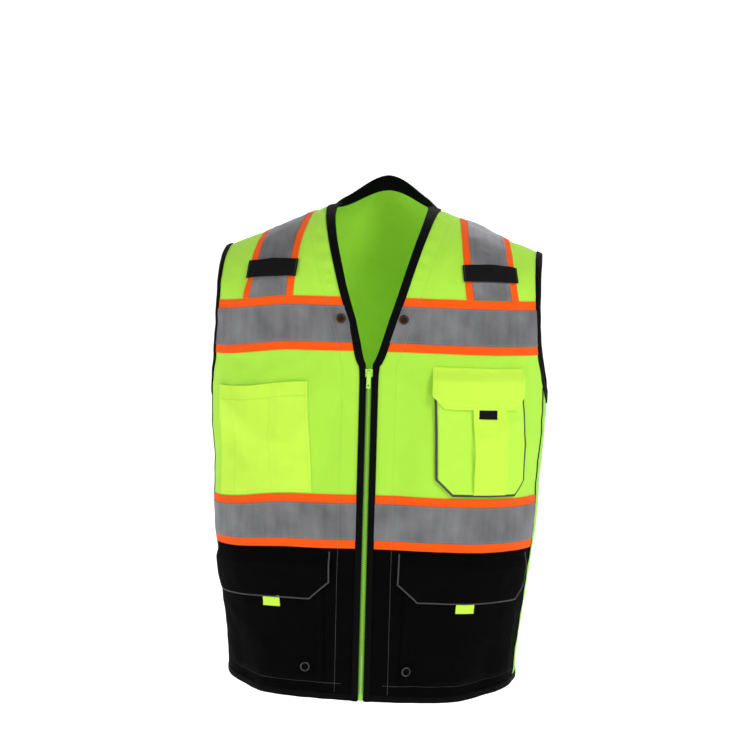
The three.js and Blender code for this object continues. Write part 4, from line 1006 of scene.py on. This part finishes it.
FLAP_SEAM = CHEST_TOP - TRIM_WIDTH - 0.018
FLAP_LOW, FLAP_CORNER, FLAP_RISE = FLAP_SEAM - 0.057, 0.017, 0.0110
FLAP_FROM, FLAP_TO, FLAP_TAB = 17.0, 55.2, 37.6
PHONE_LOW, PHONE_TOP = POCKET_BOTTOM + 0.0028, FLAP_SEAM - 0.012
PHONE_CORNER, PHONE_RISE = 0.022, 0.0078
PHONE_MOUTH, PHONE_FOOT = (17.5, 54.3), (20.1, 60.9)
PHONE_PIPING, PHONE_PIPING_UP = 0.0017, 0.0040


def phone_sides(level):
    """The pocket hangs a little askew, further out at its foot than at its mouth."""
    down = np.clip((FLAP_SEAM - level) / (FLAP_SEAM - PHONE_LOW), 0, 1)
    return tuple(mouth + (foot - mouth) * down for mouth, foot in zip(PHONE_MOUTH, PHONE_FOOT))


deg, level, share, climb = chamfered(phone_sides, PHONE_LOW, PHONE_TOP, PHONE_CORNER, 70, 150)
mouth_slack = 1 - 0.35 * np.clip((climb - 0.86) / 0.14, 0, 1)
under = PATCH_LIFT + tray(share, climb, PHONE_RISE) * mouth_slack
face = under + PATCH_CLOTH
phone = sewn("flap_chest_pocket", deg, level, under, face, pale_cloth, "yellow_fabric")
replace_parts(phone, "left_chest_pocket")

# The pleat gapes at its inner side, most of all towards its foot, and lies down on the outer
PLEAT_FROM, PLEAT_TO, PLEAT_CLOTH = 0.345, 0.725, 0.0009
low, high = PHONE_LOW + 0.0012, FLAP_SEAM - 0.020
climb = np.linspace(0, 1, 90)[:, None]
across = np.linspace(0, 1, 34)[None, :]
pleat_level = low + (high - low) * climb + 0 * across
gape = 0.012 * np.exp(-(((climb - 0.34) / 0.17) ** 2))
first = PLEAT_FROM + gape * 0.9
share = first + (PLEAT_TO - first) * across
start, end = phone_sides(pleat_level)
pleat_deg = start + (end - start) * share
pocket_climb = np.clip((pleat_level - PHONE_LOW) / (PHONE_TOP - PHONE_LOW), 0, 1)
pocket_face = PATCH_LIFT + tray(share, pocket_climb, PHONE_RISE) + PATCH_CLOTH
inner_fold = np.exp(-((across / 0.16) ** 2)) * (0.0015 + gape * 0.16)
outer_fold = 0.0011 * (1 - np.exp(-(((1 - across) / 0.05) ** 2)))
pleat_under = pocket_face + 0.0003 + (inner_fold + outer_fold) * np.clip(climb * 12, 0.15, 1)
pleat_face = pleat_under + PLEAT_CLOTH
pleat = sewn("flap_chest_pocket_pleat", pleat_deg, pleat_level, pleat_under, pleat_face, yellow_cloth,
             "yellow_fabric")
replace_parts(pleat, "left_chest_pocket_pleat")
path = outline(phone_sides, PHONE_LOW, FLAP_SEAM - 0.022, PHONE_CORNER)
piped("flap_chest_pocket_piping", *path, PHONE_PIPING_UP, 1, "shell", "left_chest_pocket_piping",
      PHONE_PIPING)
rows = [(deg[at], level[at], face[at]) for at in (np.s_[:, 3], np.s_[:, -4], np.s_[3])]
rows.append((pleat_deg[:, -3], pleat_level[:, -3], pleat_face[:, -3]))
stitched("flap_chest_pocket_stitches", rows, yellow_thread)

FLAP_CLOTH = 0.0013
SEAM_BEND = 0.012


def flap_height(share, level, seam, rise):
    """The flap leaves its seam on an easing curve over 20 mm, and stands highest at its middle."""
    off = np.clip((seam - level) / 0.020, 0, 1)
    crown = 0.70 + 0.30 * np.sin(np.pi * np.clip(share, 0, 1)) ** 0.6
    return FLAP_CLOTH + rise * off * off * (3 - 2 * off) * crown


def hinge_blend(piece, middle, seam, sign):
    """Finds the seam's place and the place 12 mm below it, which nothing uses, and bakes the piece's
    placement into its mesh.
    """
    top, low = worn(np.full(2, sign * middle), seam - 0.001 - np.array([0, SEAM_BEND]), 0.002)
    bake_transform(piece)


def hanging_flap(name, span, seam, low, corner, rise, sign, cloth, slot, body, hem_thread):
    """A flap lies over its pocket from its seam down, a little lower along its edges."""
    deg, level, share, climb = chamfered(upright(*span), low, seam, corner, 34, 76)
    edge = np.clip(np.minimum(np.minimum(share, 1 - share) / 0.02, climb / 0.05), 0, 1)
    under = flap_height(share, level, seam, rise) - 0.0007 * (1 - edge)
    face = under + FLAP_CLOTH
    heights = turned(under, sign), turned(face, sign)
    piece = sewn(name, *mirrored(deg, level, sign), *heights, cloth, slot, None)
    hinge_blend(piece, sum(span) / 2, seam, sign)
    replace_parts(piece, body)
    rows = [(sign * deg[at], level[at], face[at]) for at in (np.s_[:27, 3], np.s_[:27, -4], np.s_[2])]
    hems = stitched(f"{name}_stitches", rows, hem_thread, None)
    hinge_blend(hems, sum(span) / 2, seam, sign)


TAB_HALF_WIDTH = TAB_SHOWING = 0.0125
TAB_THICK = 0.0012


def pull_tab(name, middle, low, height, sign, material, slot, body):
    """A folded end of webbing that shows below a flap, a little thicker at its lower fold."""
    half = float(deg_span(TAB_HALF_WIDTH, middle, low))
    deg = np.linspace(middle - half, middle + half, 22)[None, :] + np.zeros((9, 1))
    level = np.linspace(low - TAB_SHOWING, low + 0.004, 9)[:, None] + np.zeros((1, 22))
    deg, level = mirrored(deg, level, sign)
    swell = 0.0004 * np.exp(-(((level - level.min()) / 0.002) ** 2))
    piece = sewn(name, deg, level, height - swell, height + TAB_THICK + swell, material, slot, body)
    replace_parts(piece, f"{body}_tab")


hanging_flap("chest_flap_cloth", (FLAP_FROM, FLAP_TO), FLAP_SEAM, FLAP_LOW, FLAP_CORNER, FLAP_RISE, 1,
             yellow_cloth, "yellow_fabric", "chest_flap", yellow_thread)
pull_tab("chest_flap_pull", FLAP_TAB, FLAP_LOW, 0.0112, 1, tab_webbing, "black_webbing", "chest_flap")
seam_row = (np.linspace(FLAP_FROM + 0.8, FLAP_TO - 0.6, 160), np.full(160, FLAP_SEAM - 0.0012), 0.0028)
stitched("chest_flap_seam_stitches", [seam_row], yellow_thread)

# ---------------------------------------------------------------- Lower pockets
# Two wide black patch pockets are sewn over the lower fronts down to the hem. Each has a piped flap
# with cut-off corners and a short lime tab.
LOWER_SPAN, LOWER_FLAP_SPAN = (11.0, 70.0), (8.9, 70.5)
LOWER_SEAM = WAIST_TOP - TRIM_WIDTH - 0.004
LOWER_LOW, LOWER_RISE = HEM + 0.0235, 0.0056
LOWER_FLAP_LOW, LOWER_CORNER, LOWER_FLAP_RISE = LOWER_SEAM - 0.066, 0.024, 0.0072
LOWER_TAB = {-1: 31.2, 1: 34.4}
for sign, side in ((-1, "right"), (1, "left")):
    deg, level, share, climb = chamfered(upright(*LOWER_SPAN), LOWER_LOW, LOWER_SEAM - 0.012, 0.0, 50, 80)
    under = PATCH_LIFT + tray(share, climb, LOWER_RISE, 0.05)
    face = under + PATCH_CLOTH
    pouch = sewn(f"lower_pocket_cloth_{side}", *mirrored(deg, level, sign), turned(under, sign),
                 turned(face, sign), black_cloth, "black_fabric")
    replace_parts(pouch, f"{side}_lower_pocket")
    rows = [(sign * deg[:, column], level[:, column], face[:, column]) for column in (2, -3)]
    stitched(f"lower_pocket_stitches_{side}", rows, black_thread)
    flap = f"{side}_lower_flap"
    hanging_flap(f"lower_flap_cloth_{side}", LOWER_FLAP_SPAN, LOWER_SEAM, LOWER_FLAP_LOW, LOWER_CORNER,
                 LOWER_FLAP_RISE, sign, black_cloth, "black_fabric", flap, black_thread)
    deg, level = outline(upright(*LOWER_FLAP_SPAN), LOWER_FLAP_LOW, LOWER_SEAM - 0.001, LOWER_CORNER)
    share = (deg - LOWER_FLAP_SPAN[0]) / (LOWER_FLAP_SPAN[1] - LOWER_FLAP_SPAN[0])
    height = flap_height(share, level, LOWER_SEAM, LOWER_FLAP_RISE) + 0.0003
    cord = piped(f"lower_flap_piping_{side}", deg, level, height, sign, None, f"{flap}_piping")
    hinge_blend(cord, sum(LOWER_FLAP_SPAN) / 2, LOWER_SEAM, sign)
    pull_tab(f"lower_flap_pull_{side}", LOWER_TAB[sign], LOWER_FLAP_LOW - 0.0008, 0.0078, sign,
             yellow_cloth, "yellow_fabric", flap)

# ---------------------------------------------------------------- Eyelets
# Rolled brass eyelets pierce the chest band, antique bronze, and the lower pockets, gunmetal.
EYELET_PROFILE = np.array([  # radius and rise of the ring's outline
    (0.0034, -0.0010), (0.0036, 0.0006), (0.0040, 0.0013), (0.0050, 0.0016), (0.0060, 0.0013),
    (0.0067, 0.0006), (0.0067, 0.0001), (0.0040, -0.0002), (0.0040, -0.0010),
])
EYELET_BORE, EYELET_RIM = 0.0034, 0.0067
AROUND = 40


def metal(name, bright, dark, rough):
    """Plated brass, darker and lighter in random patches and lightly scuffed."""
    plate = Finish(name)
    wear = plate.speckle(plate.node("ShaderNodeTexCoord")[3], 420.0, 5.0)
    plate.set(Base_Color=plate.tint(wear, dark, bright), Metallic=0.85, Roughness=wear * 0.3 + rough)
    plate.set(Normal=plate.relief(wear, 0.00008))
    return plate.material


def eyelet(name, x, level, height, material, node, sign, inside, bore=EYELET_BORE):
    """A closed ring profile turned about the cloth's outward direction, round a dark dished disc that fills
    the hole, darkened as painted shade.
    """
    deg, level = np.array([sign * float(deg_at(x, level))]), np.array([level])
    centre = worn(deg, level, height)[0]
    right = (worn(deg + 1, level, height) - worn(deg - 1, level, height))[0]
    right = right / np.linalg.norm(right)
    out = np.cross(right, (worn(deg, level + 0.004, height) - worn(deg, level - 0.004, height))[0])
    out = out / np.linalg.norm(out)
    turn = np.linspace(0, 2 * np.pi, AROUND, endpoint=False)[:, None, None]
    spoke = right * np.cos(turn) + np.cross(out, right) * np.sin(turn)
    radius, rise = EYELET_PROFILE[None, :, :1], EYELET_PROFILE[None, :, 1:]
    radius = EYELET_RIM - (EYELET_RIM - radius) * (EYELET_RIM - bore) / (EYELET_RIM - EYELET_BORE)
    ring = centre + spoke * radius + out * rise
    spot = np.arange(AROUND * len(EYELET_PROFILE)).reshape(AROUND, -1)
    above, onward = np.roll(spot, -1, axis=1), np.roll(spot, -1, axis=0)
    faces = np.stack([spot, above, np.roll(above, -1, axis=0), onward], -1).reshape(-1, 4)
    flat = ring.reshape(-1, 3)
    piece = surface_piece(name, flat, faces[:, ::-1], np.zeros((spot.size, 2)), material, "shell")
    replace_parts(piece, node)
    reach = np.array([0.02, 0.5, 1.0, 1.0, 0.5, 0.02])[None, :, None] * (bore + 0.0005)
    deep = np.array([0.0004, 0.0004, 0.0005, -0.0003, -0.0005, -0.0005])[None, :, None]
    dish = (centre + spoke * reach + out * deep).reshape(-1, 3)
    spot = np.arange(len(dish)).reshape(AROUND, -1)
    onward = np.roll(spot, -1, axis=0)
    faces = [np.stack([spot[:, :-1], spot[:, 1:], onward[:, 1:], onward[:, :-1]], -1).reshape(-1, 4)]
    front, back = np.full(AROUND // 2, len(dish)), np.full(AROUND // 2, len(dish) + 1)
    faces.append(np.stack([spot[::2, 0], spot[1::2, 0], np.roll(spot[::2, 0], -1), front], -1))
    faces.append(np.stack([spot[::2, -1], back, np.roll(spot[::2, -1], -1), spot[1::2, -1]], -1))
    dish = np.concatenate([dish, (centre + out * 0.0004)[None], (centre - out * 0.0005)[None]])
    where = np.zeros((len(dish), 2))
    surface_piece(f"{name}_hole", dish, np.concatenate(faces), where, inside, "shell")


CHEST_RING_X, CHEST_RING_DROP, HEM_RING_UP = 0.0485, 0.030, 0.0455
HEM_RING_X = {-1: 0.0770, 1: 0.0615}
bronze = metal("antique_bronze", (0.11, 0.058, 0.030), (0.030, 0.017, 0.010), 0.3)
# The disc in each chest eyelet's hole is dark brown: the brown of what shows through the hole, darkened as
# painted shade.
hole_shade_bronze = metal("eyelet_hole_shade", (0.060, 0.030, 0.017), (0.012, 0.007, 0.005), 0.45)
gunmetal = metal("gunmetal_plate", (0.11, 0.10, 0.09), (0.05, 0.045, 0.04), 0.35)
for sign, side in ((-1, "right"), (1, "left")):
    eyelet(f"chest_ring_{side}", CHEST_RING_X, CHEST_TOP - CHEST_RING_DROP, TAPE_HEIGHT[1], bronze,
           f"chest_eyelet_{side}", sign, hole_shade_bronze)
    eyelet(f"hem_ring_{side}", HEM_RING_X[sign], HEM + HEM_RING_UP, 0.0092, gunmetal,
           f"hem_eyelet_{side}", sign, black_cloth, 0.0047)

# ---------------------------------------------------------------- Zip
# A moulded tooth zip joins the fronts from the hem to the foot of the neckline. Its two rows of teeth
# are clamped to lime tape. A slider with a long pull runs on them, down to the box at the foot.
ZIP_TOP = VEE - 0.0014
TOOTH_PITCH, TOOTH_OUT = 0.0029, 0.0014
TOOTH_HALVES = (0.0019, 0.0013, 0.00092)
TAPE_INNER, TAPE_OUTER, TAPE_HALF_THICK = 0.0007, 0.0125, 0.0004
BOX_UP, BOX_HALVES = 0.0060, (0.0033, 0.0021, 0.0056)
# The tape's dark green is painted shade: it stands for the shadow in the zip's channel, over tape that is
# lime.
shaded_tape_cloth = woven("zip_tape_painted_shade", (0.085, 0.22, 0.016), (0.05, 0.15, 0.010), thread=0.0008)


def moulded(name, deep, bright):
    """Moulded plastic: a faint haze in colour and polish."""
    plastic = Finish(name)
    haze = plastic.speckle(plastic.node("ShaderNodeTexCoord")[3], 300.0, 3.0)
    plastic.set(Base_Color=plastic.tint(haze, deep, bright), Roughness=haze * 0.15 + 0.3)
    plastic.set(Normal=plastic.relief(haze, 0.00005), Specular_IOR_Level=0.35)
    return plastic.material


tooth_plastic = moulded("tooth_plastic", (0.27, 0.64, 0.055), (0.34, 0.73, 0.075))
slider_enamel = moulded("slider_enamel", (0.43, 0.88, 0.10), (0.50, 0.95, 0.13))


def blocks(name, centres, halves, node):
    """Small rounded blocks: each is four rings of a squared oval, the two middle ones wider."""
    turn = np.linspace(0, 2 * np.pi, 8, endpoint=False)[None, None, :]
    ring = np.array([0.72, 1.0, 1.0, 0.72])[None, :, None]
    x = np.sign(np.cos(turn)) * np.abs(np.cos(turn)) ** 0.5 * ring
    z = np.sign(np.sin(turn)) * np.abs(np.sin(turn)) ** 0.5 * ring
    y = np.array([-1.0, -0.62, 0.62, 1.0])[None, :, None] + 0 * x
    points = np.stack([x, y, z], -1) * np.asarray(halves) + np.asarray(centres)[:, None, None, :]
    spot = np.arange(32).reshape(4, 8)
    side = np.roll(spot, -1, axis=1)
    one = np.stack([spot[:-1], side[:-1], side[1:], spot[1:]], -1).reshape(-1, 4)
    caps = [[0, 7, 6, 1], [1, 6, 5, 2], [2, 5, 4, 3], [25, 30, 31, 24], [26, 29, 30, 25], [27, 28, 29, 26]]
    one = np.concatenate([one[:, ::-1], np.array(caps)[:, ::-1]])
    faces = (one[None] + 32 * np.arange(len(points))[:, None, None]).reshape(-1, 4)
    flat = points.reshape(-1, 3)
    where = np.zeros((len(flat), 2))
    piece = surface_piece(name, flat, faces, where, tooth_plastic, "shell", 50)
    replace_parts(piece, node)


for sign, side in ((-1, "right"), (1, "left")):
    low, high = HEM + 0.0108, ZIP_TOP - 0.001
    z = np.arange(high - (0 if sign > 0 else TOOTH_PITCH / 2), low, -TOOTH_PITCH)
    centres = np.stack([np.full(z.shape, sign * TOOTH_OUT), np.full(z.shape, -FRONT_DEPTH), z], 1)
    blocks(f"zip_teeth_row_{side}", centres, TOOTH_HALVES, f"zip_teeth_{side}")
    x = np.linspace(TAPE_INNER, TAPE_OUTER, 8)[None, :]
    z = np.linspace(HEM + 0.001, ZIP_TOP, 120)[:, None]
    y = -FRONT_DEPTH + 0.0002 * np.sin(z / 0.013) * np.clip((x - 0.003) / 0.006, 0, 1)
    x, y, z = (turned(v, sign) for v in np.broadcast_arrays(sign * x, y, z))
    inner, outer = np.stack([x, y + TAPE_HALF_THICK, z], -1), np.stack([x, y - TAPE_HALF_THICK, z], -1)
    tape = walled(f"zip_tape_strip_{side}", inner, outer, shaded_tape_cloth)
    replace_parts(tape, f"zip_tape_{side}")
blocks("zip_foot_box", [(0, -FRONT_DEPTH, HEM + BOX_UP)], BOX_HALVES, "zip_box")

for node in ("zip_slider", "zip_pull"):
    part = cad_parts[node]
    part.data.materials.clear()
    part.data.materials.append(slider_enamel)
